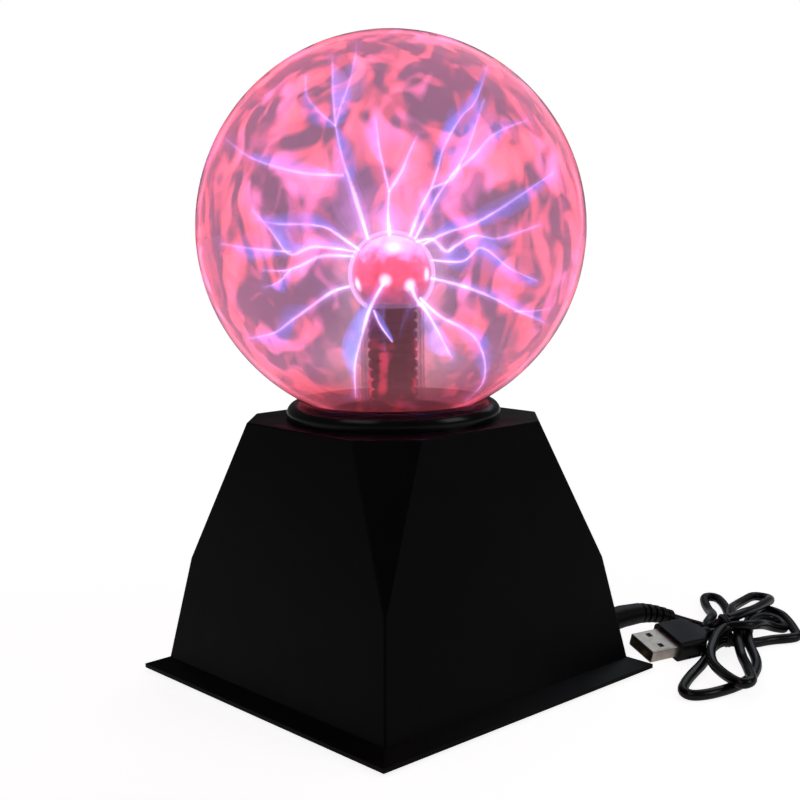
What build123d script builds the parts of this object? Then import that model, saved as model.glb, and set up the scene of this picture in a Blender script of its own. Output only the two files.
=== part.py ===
from build123d import *
from math import atan, cos, pi, radians, sin, sqrt, tan
import os

# Plasma ball on a faceted pyramid base, with its low-voltage cable tied in a hank behind it. Millimetres.
# Origin: centre of the base on the table. +Z up, +Y out of the face with the inlet, switch and microphone.

# ---- driving dimensions --------------------------------------------------------------------------
GLOBE_R = 63.5
GLOBE_Z = 150.0
GLASS_WALL = 1.5
NECK_R = 22.0
NECK_FOOT_Z = 78.0

BULB_R = 14.0
BULB_Z = 135.5
STEM_R = 10.5
STEM_WALL = 1.0
STEM_FOOT_Z = 76.5

FOOT_HEIGHT = 1.0           # gap under the flange that the rubber feet fill
FLANGE_HALF = 61.6
FLANGE_EDGE = 1.4
BODY_FOOT_Z = 4.9
BODY_TOP_Z = 88.0
BODY_HALF_LOW = 55.5
BODY_HALF_TOP = 41.2
FACET_LEG = 15.0            # how far a corner facet cuts into each side at the top
FACET_APEX_Z = 38.5
SHELL_WALL = 2.2
TOP_WALL = 2.4
TOP_HOLE_R = 24.5

COLLAR_FOOT_R = 35.7
COLLAR_SEAT_Z = 91.0        # shelf that the gasket rests on
COLLAR_BORE_R = 30.0
COLLAR_TOP_Z = 93.9

PLATE_THICK = 2.4
BOARD_Z = 12.0
BOARD_THICK = 1.6
BOARD_TOP = BOARD_Z + BOARD_THICK

PAD_Y = 55.4                # flat outer face of the pads on the sloping rear wall
PAD_BACK_Y = 52.8
JACK_X, JACK_Z = 38.0, 11.0
SWITCH_X, SWITCH_Z = 0.0, 13.0
MIC_X, MIC_Z = -34.0, 12.0
SWITCH_TRAVEL = 2.5         # each way from the middle stop

CORD_R = 1.75
PLUG_GRIP_R = 4.0
PLUG_FRONT_Y = 57.7
TAIL_START_Y = 75.0
TAIL_LENGTH = 25.0
TAIL_BEND = 30.0            # degrees that the strain relief droops through

TIE_X, TIE_Y = 63.9, 101.4  # middle of the tied hank
HANK_TURN = 47.7            # degrees from +X to the hank's short axis
HANK_HEIGHT = 7.2
LEAD_RUN = 7.9              # straight out of the strain relief
LEAD_END = (-3.0, 15.2, 1.9)  # where the lead meets the hank, in the hank's frame
RIDGE_LEFT, RIDGE_RIGHT = -5.0, 12.5  # where the crossing turns pile up, and how far along
RIDGE_NEAR, RIDGE_FAR = -15.0, 20.0
RIDGE_TOP_NEAR, RIDGE_TOP_FAR = -7.0, 11.0
WAIST_NEAR, WAIST_FAR = -6.5, 6.1     # the bundle inside the tie
WAIST_LOW, WAIST_HIGH = 1.0, 10.8
TIE_THICK, TIE_HALF_WIDTH = 0.9, 1.7
TIE_SLOT = 1.3              # room round the bundle for the tie

USB_X, USB_Y = 57.0, 76.2   # front face of the plug's grip
USB_HEADING = 77.3          # degrees from +X, mouth to cable
USB_LEAN = 17.6             # degrees that the plug lies rolled over
USB_GRIP = (15.6, 7.6, 11.0)
USB_SHELL = (12.0, 4.5, 11.8)
USB_GRIP_EDGE = 2.0
USB_LENGTH = 18.5

plate_top = FOOT_HEIGHT + PLATE_THICK
slope = (BODY_HALF_LOW - BODY_HALF_TOP) / (BODY_TOP_Z - BODY_FOOT_Z)
wall_run = SHELL_WALL / cos(atan(slope))
boss_at = 46.5
board_hole_x, board_hole_y = 30.0, 24.0


def half_width(height, inset=0.0):
    """Half the width of the pyramid at a height, with the walls moved in by inset."""
    return BODY_HALF_LOW - slope * (height - BODY_FOOT_Z) - inset


def facet_plane(corner, inset):
    """Plane of one corner facet, moved in by inset; its normal points out of the body."""
    apex = half_width(FACET_APEX_Z)
    rise = BODY_TOP_Z - FACET_APEX_Z
    lean = (2 * apex - (2 * BODY_HALF_TOP - FACET_LEG)) / rise
    outward = Vector(1, 1, lean).normalized()
    start = Vector(apex, apex, FACET_APEX_Z) - outward * inset
    return Plane(origin=start.rotate(Axis.Z, 90 * corner), z_dir=outward.rotate(Axis.Z, 90 * corner))


def faceted_pyramid(low, high, run_inset=0.0, facet_inset=0.0):
    """Square frustum with a sloping facet on each corner."""
    with BuildPart() as solid:
        for height in (low, high):
            with BuildSketch(Plane.XY.offset(height)):
                Rectangle(2 * half_width(height, run_inset), 2 * half_width(height, run_inset))
        loft(ruled=True)
        for corner in range(4):
            split(bisect_by=facet_plane(corner, facet_inset), keep=Keep.BOTTOM)
    return solid.part


def pan_screw(head_r, head_height, shank_r, length):
    """Pan head screw, head up, with the underside of its head at the origin and a cross recess."""
    with BuildPart() as screw:
        with BuildSketch(Plane.XY):
            Circle(head_r)
        extrude(amount=head_height)
        fillet(screw.edges().sort_by(Axis.Z)[-1], head_height * 0.45)
        with BuildSketch(Plane.XY.offset(head_height)):
            Rectangle(head_r * 1.1, head_r * 0.28)
            Rectangle(head_r * 0.28, head_r * 1.1)
        extrude(amount=-head_height * 0.5, mode=Mode.SUBTRACT)
        with BuildSketch(Plane.XY):
            Circle(shank_r)
        extrude(amount=-length)
        chamfer(screw.edges().sort_by(Axis.Z)[0], shank_r * 0.4)
    return screw.part


def save(piece, name):
    piece.label = name
    export_step(piece, f"parts/{name}.step")


os.makedirs("parts", exist_ok=True)

# ---- glass ---------------------------------------------------------------------------------------
globe_inner_r = GLOBE_R - GLASS_WALL
neck_inner_r = NECK_R - GLASS_WALL
neck_join_z = GLOBE_Z - sqrt(GLOBE_R**2 - NECK_R**2)
neck_join_inner_z = GLOBE_Z - sqrt(globe_inner_r**2 - neck_inner_r**2)

with BuildPart() as outer_globe:
    with BuildSketch(Plane.XZ):
        with BuildLine():
            Polyline((neck_inner_r, neck_join_inner_z), (neck_inner_r, NECK_FOOT_Z),
                     (NECK_R, NECK_FOOT_Z), (NECK_R, neck_join_z))
            ThreePointArc((NECK_R, neck_join_z), (GLOBE_R, GLOBE_Z), (0, GLOBE_Z + GLOBE_R))
            Line((0, GLOBE_Z + GLOBE_R), (0, GLOBE_Z + globe_inner_r))
            ThreePointArc((0, GLOBE_Z + globe_inner_r), (globe_inner_r, GLOBE_Z),
                          (neck_inner_r, neck_join_inner_z))
        make_face()
    revolve(axis=Axis.Z)
    fillet([e for e in outer_globe.edges().filter_by(GeomType.CIRCLE)
            if abs(e.center().Z - neck_join_z) < 0.01], 3.0)
save(outer_globe.part, "outer_globe")

bulb_inner_r = BULB_R - STEM_WALL
stem_inner_r = STEM_R - STEM_WALL
bulb_join_z = BULB_Z - sqrt(BULB_R**2 - STEM_R**2)
bulb_join_inner_z = BULB_Z - sqrt(bulb_inner_r**2 - stem_inner_r**2)
flare_r, flare_z = STEM_R + 9.0, NECK_FOOT_Z + 10.0

with BuildPart() as inner_stem:
    with BuildSketch(Plane.XZ):
        with BuildLine():
            Polyline((stem_inner_r, bulb_join_inner_z), (stem_inner_r, STEM_FOOT_Z),
                     (NECK_R, STEM_FOOT_Z), (NECK_R, NECK_FOOT_Z), (flare_r, NECK_FOOT_Z))
            TangentArc((flare_r, NECK_FOOT_Z), (STEM_R, flare_z), tangent=(-1, 0.0))
            Line((STEM_R, flare_z), (STEM_R, bulb_join_z))
            ThreePointArc((STEM_R, bulb_join_z), (BULB_R, BULB_Z), (0, BULB_Z + BULB_R))
            Line((0, BULB_Z + BULB_R), (0, BULB_Z + bulb_inner_r))
            ThreePointArc((0, BULB_Z + bulb_inner_r), (bulb_inner_r, BULB_Z),
                          (stem_inner_r, bulb_join_inner_z))
        make_face()
    revolve(axis=Axis.Z)
save(inner_stem.part, "inner_stem")

TIP_AT_R = 16.0
TIP_R = 2.6
TIP_LENGTH = 7.6
with BuildPart() as exhaust_tip:
    with BuildSketch(Plane.XZ):
        with BuildLine():
            Polyline((0, STEM_FOOT_Z), (TIP_R, STEM_FOOT_Z), (TIP_R - 0.3, STEM_FOOT_Z - 3.0),
                     (0.8, STEM_FOOT_Z - TIP_LENGTH + 0.6), (0, STEM_FOOT_Z - TIP_LENGTH), close=True)
        make_face()
    revolve(axis=Axis.Z)
save(exhaust_tip.part.moved(Location((TIP_AT_R, 0, 0))), "exhaust_tip")

# ---- electrode -----------------------------------------------------------------------------------
SLEEVE_R = 8.2
SLEEVE_TOP_Z = 126.0
SOCKET_R, SOCKET_FOOT_Z = 12.0, 70.0  # the sleeve's wider foot below the glass
SHOULDER_Z = 79.5
GROOVE_COUNT, GROOVE_PITCH, GROOVE_DEPTH = 13, 3.2, 1.0
GROOVE_HALF = 0.9
FIRST_GROOVE_Z = 85.0
WIRE_BORE_R = 3.0

with BuildPart() as core_sleeve:
    with BuildSketch(Plane.XZ):
        with BuildLine():
            Polyline((WIRE_BORE_R, SOCKET_FOOT_Z), (SOCKET_R, SOCKET_FOOT_Z), (SOCKET_R, STEM_FOOT_Z),
                     (stem_inner_r - 0.1, STEM_FOOT_Z), (stem_inner_r - 0.1, SHOULDER_Z),
                     (SLEEVE_R, SHOULDER_Z + 1.5), (SLEEVE_R, SLEEVE_TOP_Z), (WIRE_BORE_R, SLEEVE_TOP_Z),
                     close=True)
        make_face()
        for i in range(GROOVE_COUNT):
            groove_z = FIRST_GROOVE_Z + i * GROOVE_PITCH
            with BuildLine():
                Polyline((SLEEVE_R + 0.2, groove_z - GROOVE_HALF), (SLEEVE_R - GROOVE_DEPTH, groove_z),
                         (SLEEVE_R + 0.2, groove_z + GROOVE_HALF), close=True)
            make_face(mode=Mode.SUBTRACT)
    revolve(axis=Axis.Z)
save(core_sleeve.part, "core_sleeve")

WIRE_R = 0.8
wire_top_z = 129.0
with BuildPart() as steel_wool:
    with Locations((0, 0, BULB_Z)):
        Sphere(bulb_inner_r - 0.3)
    split(bisect_by=Plane.XY.offset(SLEEVE_TOP_Z + 0.1), keep=Keep.TOP)
    with BuildSketch(Plane.XY.offset(SLEEVE_TOP_Z)):
        Circle(WIRE_R + 0.1)
    extrude(amount=wire_top_z - SLEEVE_TOP_Z + 0.2, mode=Mode.SUBTRACT)
save(steel_wool.part, "steel_wool")

TRANSFORMER_X = -14.0
COIL_HALF_DEPTH = 12.0
coil_exit = Vector(TRANSFORMER_X, COIL_HALF_DEPTH, 24.0)
wire_turn = coil_exit + Vector(0, 5, 0)
with BuildPart() as electrode_wire:
    with BuildLine():
        FilletPolyline(coil_exit, wire_turn, wire_turn + Vector(0, 0, 20), (0, 0, 62.0), (0, 0, wire_top_z),
                       radius=3.5)
    with BuildSketch(Plane(origin=coil_exit, z_dir=(0, 1, 0))):
        Circle(WIRE_R)
    sweep()
save(electrode_wire.part, "electrode_wire")

# ---- collar, gasket and neck clamp ---------------------------------------------------------------
collar_edge = (COLLAR_FOOT_R, BODY_TOP_Z + 1.6)
collar_brow = (32.6, COLLAR_TOP_Z - 0.1)
with BuildPart() as collar_ring:
    with BuildSketch(Plane.XZ):
        with BuildLine():
            Polyline((COLLAR_BORE_R, COLLAR_TOP_Z), (COLLAR_BORE_R, COLLAR_SEAT_Z), (25.5, COLLAR_SEAT_Z),
                     (25.5, BODY_TOP_Z), (COLLAR_FOOT_R, BODY_TOP_Z), collar_edge)
            ThreePointArc(collar_edge, (34.9, 92.2), collar_brow)
            ThreePointArc(collar_brow, (31.3, COLLAR_TOP_Z + 0.1), (COLLAR_BORE_R, COLLAR_TOP_Z))
        make_face()
    revolve(axis=Axis.Z)
save(collar_ring.part, "collar_ring")

gasket_in_r, gasket_out_r = 26.6, COLLAR_BORE_R - 0.1
gasket_arc_r = GLOBE_R + 0.05
gasket_in = (gasket_in_r, GLOBE_Z - sqrt(gasket_arc_r**2 - gasket_in_r**2))
gasket_out = (gasket_out_r, GLOBE_Z - sqrt(gasket_arc_r**2 - gasket_out_r**2))
with BuildPart() as globe_gasket:
    with BuildSketch(Plane.XZ):
        with BuildLine():
            Polyline(gasket_in, (gasket_in_r, COLLAR_SEAT_Z), (gasket_out_r, COLLAR_SEAT_Z), gasket_out)
            RadiusArc(gasket_out, gasket_in, gasket_arc_r)
        make_face()
    revolve(axis=Axis.Z)
save(globe_gasket.part, "globe_gasket")

CLAMP_PCD_R = 29.0
CLAMP_SCREW_R = 1.45
CLAMP_FLANGE_R, CLAMP_SLEEVE_TALL = 33.5, 4.6
clamp_flange_low, clamp_flange_high = 80.4, 82.4
with BuildPart() as neck_clamp:
    with BuildSketch(Plane.XY.offset(clamp_flange_low)):
        Circle(CLAMP_FLANGE_R)
        Circle(NECK_R + 0.15, mode=Mode.SUBTRACT)
        with PolarLocations(CLAMP_PCD_R, 3):
            Circle(CLAMP_SCREW_R + 0.1, mode=Mode.SUBTRACT)
    extrude(amount=clamp_flange_high - clamp_flange_low)
    with BuildSketch(Plane.XY.offset(clamp_flange_high)):
        Circle(NECK_R + 2.2)
        Circle(NECK_R + 0.15, mode=Mode.SUBTRACT)
    extrude(amount=CLAMP_SLEEVE_TALL)
save(neck_clamp.part, "neck_clamp")

clamp_screw = pan_screw(2.7, 1.9, CLAMP_SCREW_R, 6.0)
with BuildPart() as clamp_screws:
    with PolarLocations(CLAMP_PCD_R, 3):
        with Locations(Location((0, 0, clamp_flange_low), (180, 0, 0))):
            add(clamp_screw)
save(clamp_screws.part, "clamp_screws")

# ---- base shell ----------------------------------------------------------------------------------
BOSS_R, BOSS_TALL = 4.0, 24.0
PILOT_R, PILOT_DEEP = 1.45, 16.0
CLAMP_BOSS_R = 3.6
JACK_PAD_R, JACK_HOLE_R = 7.3, 4.05
MIC_PAD_R, MIC_HOLE_R = 7.0, 4.45
SWITCH_PAD = (31.0, 12.0)
SWITCH_WINDOW = (10.6, 4.6)
SWITCH_SCREW_OFF = 9.8      # from the switch's middle to each of its screws
outer_body = faceted_pyramid(BODY_FOOT_Z, BODY_TOP_Z)
cavity_top = BODY_TOP_Z - TOP_WALL
cavity_body = faceted_pyramid(BODY_FOOT_Z - 0.5, cavity_top, wall_run, SHELL_WALL)

with BuildPart() as base_shell:
    add(outer_body)
    fillet([e for e in base_shell.edges() if e.center().Z > BODY_FOOT_Z + 1], 0.7)
    with BuildSketch(Plane.XY.offset(FOOT_HEIGHT)):
        Rectangle(2 * FLANGE_HALF, 2 * FLANGE_HALF)
    extrude(amount=FLANGE_EDGE)
    for height, half in ((FOOT_HEIGHT + FLANGE_EDGE, FLANGE_HALF), (BODY_FOOT_Z, BODY_HALF_LOW)):
        with BuildSketch(Plane.XY.offset(height)):
            Rectangle(2 * half, 2 * half)
    loft(ruled=True)
    add(cavity_body, mode=Mode.SUBTRACT)
    with BuildSketch(Plane.XY.offset(FOOT_HEIGHT)):
        Rectangle(2 * half_width(BODY_FOOT_Z, wall_run), 2 * half_width(BODY_FOOT_Z, wall_run))
    extrude(amount=BODY_FOOT_Z - FOOT_HEIGHT, mode=Mode.SUBTRACT)
    # bosses for the bottom screws, which run into the corner walls
    with BuildSketch(Plane.XY.offset(plate_top)):
        with GridLocations(2 * boss_at, 2 * boss_at, 2, 2):
            Circle(BOSS_R)
    extrude(amount=BOSS_TALL)
    with BuildSketch(Plane.XY.offset(plate_top)):
        with GridLocations(2 * boss_at, 2 * boss_at, 2, 2):
            Circle(PILOT_R)
    extrude(amount=PILOT_DEEP, mode=Mode.SUBTRACT)
    # bosses that hang from the top for the clamp screws
    with BuildSketch(Plane.XY.offset(clamp_flange_high)):
        with PolarLocations(CLAMP_PCD_R, 3):
            Circle(CLAMP_BOSS_R)
    extrude(amount=cavity_top - clamp_flange_high)
    with BuildSketch(Plane.XY.offset(cavity_top - 0.2)):
        Circle(TOP_HOLE_R)
    extrude(amount=TOP_WALL + 0.4, mode=Mode.SUBTRACT)
    with BuildSketch(Plane.XY.offset(clamp_flange_high - 0.1)):
        with PolarLocations(CLAMP_PCD_R, 3):
            Circle(CLAMP_SCREW_R + 0.05)
    extrude(amount=4.4, mode=Mode.SUBTRACT)
    # flat pads on the sloping rear wall
    rear = Plane(origin=(0, PAD_BACK_Y, 0), x_dir=(-1, 0, 0), z_dir=(0, 1, 0))
    with BuildSketch(rear):
        with Locations((-SWITCH_X, SWITCH_Z)):
            RectangleRounded(*SWITCH_PAD, 1.5)
        with Locations((-JACK_X, JACK_Z)):
            Circle(JACK_PAD_R)
        with Locations((-MIC_X, MIC_Z)):
            Circle(MIC_PAD_R)
    extrude(amount=PAD_Y - PAD_BACK_Y)
    # pockets behind the pads, and the openings through them
    with BuildSketch(rear):
        with Locations((-SWITCH_X, SWITCH_Z)):
            Rectangle(24.4, 9.4)
        with Locations((-JACK_X, JACK_Z)):
            Rectangle(8.6, 10.4)
        with Locations((-MIC_X, MIC_Z)):
            Circle(5.0)
    extrude(amount=-6.0, mode=Mode.SUBTRACT)
    with BuildSketch(rear):
        with Locations((-SWITCH_X, SWITCH_Z)):
            Rectangle(*SWITCH_WINDOW)
        with Locations((-SWITCH_X - SWITCH_SCREW_OFF, SWITCH_Z), (-SWITCH_X + SWITCH_SCREW_OFF, SWITCH_Z)):
            Circle(1.05)
        with Locations((-JACK_X, JACK_Z)):
            Circle(JACK_HOLE_R)
        with Locations((-MIC_X, MIC_Z)):
            Circle(MIC_HOLE_R)
    extrude(amount=6.0, mode=Mode.SUBTRACT)
save(base_shell.part, "base_shell")

# ---- base cover and feet -------------------------------------------------------------------------
FOOT_R = 7.0
FOOT_AT = 36.0
VENT_COUNT, VENT_PITCH = 7, 7.0
COUNTERBORE_R, COUNTERBORE_DEEP = 3.1, 1.3
plate_side = 2 * (half_width(BODY_FOOT_Z, wall_run) - 0.2)
with BuildPart() as bottom_plate:
    with BuildSketch(Plane.XY.offset(FOOT_HEIGHT)):
        RectangleRounded(plate_side, plate_side, 1.0)
        with GridLocations(2 * boss_at, 2 * boss_at, 2, 2):
            Circle(1.6, mode=Mode.SUBTRACT)
        with GridLocations(0, VENT_PITCH, 1, VENT_COUNT):
            SlotOverall(34.0, 2.6, mode=Mode.SUBTRACT)
    extrude(amount=PLATE_THICK)
    with BuildSketch(Plane.XY.offset(FOOT_HEIGHT)):
        with GridLocations(2 * boss_at, 2 * boss_at, 2, 2):
            Circle(COUNTERBORE_R)
    extrude(amount=COUNTERBORE_DEEP, mode=Mode.SUBTRACT)
    with BuildSketch(Plane.XY.offset(plate_top)):
        with GridLocations(2 * board_hole_x, 2 * board_hole_y, 2, 2):
            Circle(3.2)
    extrude(amount=BOARD_Z - plate_top)
    with BuildSketch(Plane.XY.offset(BOARD_Z)):
        with GridLocations(2 * board_hole_x, 2 * board_hole_y, 2, 2):
            Circle(1.45)
    extrude(amount=-8.0, mode=Mode.SUBTRACT)
save(bottom_plate.part, "bottom_plate")

bottom_screw = pan_screw(2.9, 1.2, 1.4, 13.0)
with BuildPart() as bottom_screws:
    with GridLocations(2 * boss_at, 2 * boss_at, 2, 2):
        with Locations(Location((0, 0, FOOT_HEIGHT + COUNTERBORE_DEEP), (180, 0, 0))):
            add(bottom_screw)
save(bottom_screws.part, "bottom_screws")

with BuildPart() as rubber_feet:
    with BuildSketch(Plane.XY):
        with GridLocations(2 * FOOT_AT, 2 * FOOT_AT, 2, 2):
            Circle(FOOT_R)
    extrude(amount=FOOT_HEIGHT)
    chamfer(rubber_feet.edges().group_by(Axis.Z)[0], 0.3)
save(rubber_feet.part, "rubber_feet")

# ---- driver board --------------------------------------------------------------------------------
BOARD_LONG, BOARD_DEEP = 70.0, 58.0
with BuildPart() as circuit_board:
    with BuildSketch(Plane.XY.offset(BOARD_Z)):
        RectangleRounded(BOARD_LONG, BOARD_DEEP, 2.0)
        with GridLocations(2 * board_hole_x, 2 * board_hole_y, 2, 2):
            Circle(1.6, mode=Mode.SUBTRACT)
    extrude(amount=BOARD_THICK)
save(circuit_board.part, "circuit_board")

board_screw = pan_screw(2.7, 1.9, 1.4, 7.0)
with BuildPart() as board_screws:
    with Locations((0, 0, BOARD_TOP)):
        with GridLocations(2 * board_hole_x, 2 * board_hole_y, 2, 2):
            add(board_screw)
save(board_screws.part, "board_screws")

CORE_WIDE, CORE_HIGH, CORE_DEEP = 28.0, 24.0, 12.0
WINDOW_WIDE, WINDOW_HIGH, LEG_WIDE = 6.0, 16.0, 8.0
core_middle_z = BOARD_TOP + CORE_HIGH / 2
core_front = Plane(origin=(TRANSFORMER_X, -CORE_DEEP / 2, core_middle_z), x_dir=(1, 0, 0),
                   z_dir=(0, 1, 0))
with BuildPart() as transformer_core:
    with BuildSketch(core_front):
        RectangleRounded(CORE_WIDE, CORE_HIGH, 0.8)
        with Locations((-(LEG_WIDE + WINDOW_WIDE) / 2, 0), ((LEG_WIDE + WINDOW_WIDE) / 2, 0)):
            Rectangle(WINDOW_WIDE, WINDOW_HIGH, mode=Mode.SUBTRACT)
    extrude(amount=CORE_DEEP)
save(transformer_core.part, "transformer_core")

with BuildPart() as transformer_coil:
    with BuildSketch(Plane(origin=(TRANSFORMER_X, 0, core_middle_z - WINDOW_HIGH / 2 + 0.2))):
        RectangleRounded(LEG_WIDE + 2 * WINDOW_WIDE - 0.6, 2 * COIL_HALF_DEPTH, 3.0)
        Rectangle(LEG_WIDE + 0.2, CORE_DEEP + 0.2, mode=Mode.SUBTRACT)
    extrude(amount=WINDOW_HIGH - 0.4)
save(transformer_coil.part, "transformer_coil")

SINK_X, SINK_Y = 13.0, 15.0
SINK_TALL = 25.0
SINK_SCREW_Z = BOARD_TOP + 17.0
FIN_COUNT, FIN_PITCH, FIN_THICK = 5, 5.6, 1.2
with BuildPart() as heat_sink:
    with BuildSketch(Plane.XY.offset(BOARD_TOP)):
        with Locations((SINK_X, SINK_Y)):
            Rectangle(24.0, 2.0)
        with Locations((SINK_X, SINK_Y + 4.0)):
            with GridLocations(FIN_PITCH, 0, FIN_COUNT, 1):
                Rectangle(FIN_THICK, 6.4)
    extrude(amount=SINK_TALL)
    with BuildSketch(Plane(origin=(SINK_X, SINK_Y - 1.0, SINK_SCREW_Z), z_dir=(0, -1, 0))):
        Circle(1.5)
    extrude(amount=-2.0, mode=Mode.SUBTRACT)
save(heat_sink.part, "heat_sink")

LEG_PITCH = 2.54
transistor_back = SINK_Y - 1.0
with BuildPart() as power_transistor:
    tab = Plane(origin=(SINK_X, transistor_back, BOARD_TOP), x_dir=(1, 0, 0), z_dir=(0, -1, 0))
    with BuildSketch(tab):
        with Locations((0, 12.4)):
            Rectangle(10.0, 15.6)
        with Locations((0, 17.0)):
            Circle(1.6, mode=Mode.SUBTRACT)
    extrude(amount=1.3)
    with BuildSketch(tab):
        with Locations((0, 9.2)):
            Rectangle(10.0, 9.2)
    extrude(amount=4.4)
    with BuildSketch(tab.offset(2.2)):
        with Locations((0, 2.4)):
            with GridLocations(LEG_PITCH, 0, 3, 1):
                Rectangle(0.8, 4.8)
    extrude(amount=0.5)
save(power_transistor.part, "power_transistor")

sink_screw = pan_screw(2.7, 1.9, 1.4, 3.0)
with BuildPart() as heat_sink_screw:
    with Locations(Location((SINK_X, transistor_back - 1.3, SINK_SCREW_Z), (90, 0, 0))):
        add(sink_screw)
save(heat_sink_screw.part, "heat_sink_screw")

with BuildPart() as electrolytic_capacitors:
    for cap_x, cap_y, cap_r, cap_height in ((8.0, -18.0, 5.0, 16.0), (21.0, -20.0, 4.0, 12.0)):
        with BuildSketch(Plane.XY.offset(BOARD_TOP)):
            with Locations((cap_x, cap_y)):
                Circle(cap_r)
        extrude(amount=cap_height)
    fillet(electrolytic_capacitors.edges().filter_by(GeomType.CIRCLE), 0.5)
save(electrolytic_capacitors.part, "electrolytic_capacitors")

with BuildPart() as film_capacitor:
    with BuildSketch(Plane.XY.offset(BOARD_TOP)):
        with Locations((-13.0, 20.0)):
            RectangleRounded(12.0, 5.0, 1.2)
    extrude(amount=9.0)
save(film_capacitor.part, "film_capacitor")

RESISTOR_R, RESISTOR_LONG = 1.1, 6.2
with BuildPart() as resistors:
    for resistor_x, resistor_ys in ((-6.6, (-24.6, -20.6, -16.6)), (-15.0, (-24.6, -20.6))):
        row = Plane(origin=(resistor_x, 0, BOARD_TOP + RESISTOR_R), x_dir=(0, 1, 0), z_dir=(1, 0, 0))
        with BuildSketch(row):
            with Locations(*[(y, 0) for y in resistor_ys]):
                Circle(RESISTOR_R)
        extrude(amount=RESISTOR_LONG)
save(resistors.part, "resistors")

with BuildPart() as timer_chip:
    with BuildSketch(Plane.XY.offset(BOARD_TOP + 0.6)):
        with Locations((-22.0, -20.0)):
            Rectangle(9.6, 6.4)
            with Locations((-4.8, 0)):
                Circle(0.9, mode=Mode.SUBTRACT)
    extrude(amount=3.3)
    with BuildSketch(Plane.XY.offset(BOARD_TOP)):
        with Locations((-22.0, -20.0)):
            with GridLocations(LEG_PITCH, 7.0, 4, 2):
                Rectangle(0.7, 0.9)
    extrude(amount=2.4)
save(timer_chip.part, "timer_chip")

# ---- microphone ----------------------------------------------------------------------------------
CAPSULE_R = 3.0
grommet_bore_r = CAPSULE_R + 0.05
mic_plane = Plane(origin=(MIC_X, PAD_Y, MIC_Z), x_dir=(-1, 0, 0), z_dir=(0, 1, 0))
with BuildPart() as microphone_grommet:
    for radius, deep in ((5.4, 0.9), (4.4, -4.6)):
        with BuildSketch(mic_plane):
            Circle(radius)
            Circle(grommet_bore_r, mode=Mode.SUBTRACT)
        extrude(amount=deep)
    lip = microphone_grommet.edges().filter_by(GeomType.CIRCLE).group_by(Axis.Y)[-1]
    fillet(lip.sort_by(SortBy.RADIUS)[-1], 0.5)
save(microphone_grommet.part, "microphone_grommet")

with BuildPart() as microphone:
    with BuildSketch(mic_plane.offset(-0.2)):
        Circle(CAPSULE_R)
    extrude(amount=-5.2)
    with BuildSketch(mic_plane.offset(-0.2)):
        with PolarLocations(1.4, 6):
            Circle(0.35)
        Circle(0.35)
    extrude(amount=-0.8, mode=Mode.SUBTRACT)
save(microphone.part, "microphone")

# ---- power inlet ---------------------------------------------------------------------------------
BARREL_R = 2.75
BARREL_BORE_R = 1.05
PIN_R = 1.0
JACK_DEEP = 11.6
JACK_NOSE_R = 4.0
PIN_SEAT = 2.0
jack_nose_y = PAD_Y + 1.8
jack_bore_floor = 45.0


def jack_plane(along):
    """Plane across the inlet's axis at that place on the Y axis."""
    return Plane(origin=(JACK_X, along, JACK_Z), x_dir=(-1, 0, 0), z_dir=(0, 1, 0))


with BuildPart() as dc_jack_body:
    with BuildSketch(jack_plane(PAD_BACK_Y)):
        RectangleRounded(8.4, 10.2, 0.8)
    extrude(amount=-JACK_DEEP)
    with BuildSketch(jack_plane(PAD_BACK_Y)):
        Circle(JACK_NOSE_R)
    extrude(amount=jack_nose_y - PAD_BACK_Y)
    chamfer(dc_jack_body.edges().filter_by(GeomType.CIRCLE).sort_by(Axis.Y)[-1], 0.3)
    with BuildSketch(jack_plane(jack_nose_y)):
        Circle(BARREL_R + 0.07)
    extrude(amount=jack_bore_floor - jack_nose_y, mode=Mode.SUBTRACT)
    with BuildSketch(jack_plane(jack_bore_floor)):
        Circle(PIN_R)
    extrude(amount=-PIN_SEAT, mode=Mode.SUBTRACT)
save(dc_jack_body.part, "dc_jack_body")

with BuildPart() as dc_jack_pin:
    with BuildSketch(jack_plane(jack_bore_floor - PIN_SEAT)):
        Circle(PIN_R)
    extrude(amount=12.0)
    fillet(dc_jack_pin.edges().sort_by(Axis.Y)[-1], 0.5)
save(dc_jack_pin.part, "dc_jack_pin")

with BuildPart() as jack_nut:
    with BuildSketch(jack_plane(PAD_Y)):
        RegularPolygon(6.3, 6)
        Circle(JACK_NOSE_R + 0.02, mode=Mode.SUBTRACT)
    extrude(amount=1.5)
save(jack_nut.part, "jack_nut")

# ---- slide switch --------------------------------------------------------------------------------
switch_front = Plane(origin=(SWITCH_X, PAD_BACK_Y, SWITCH_Z), x_dir=(-1, 0, 0), z_dir=(0, 1, 0))
SLIDER_HALF = 4.6
SWITCH_DEEP = 6.4
SWITCH_WIDE, SWITCH_TALL = 24.0, 9.0
with BuildPart() as switch_body:
    with BuildSketch(switch_front):
        Rectangle(SWITCH_WIDE, SWITCH_TALL)
        with Locations((-SWITCH_SCREW_OFF, 0), (SWITCH_SCREW_OFF, 0)):
            Circle(1.0, mode=Mode.SUBTRACT)
    extrude(amount=-SWITCH_DEEP)
    with BuildSketch(switch_front):
        Rectangle(2 * (SLIDER_HALF + SWITCH_TRAVEL + 0.4), 5.0)
    extrude(amount=-4.8, mode=Mode.SUBTRACT)
save(switch_body.part, "switch_body")

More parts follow.
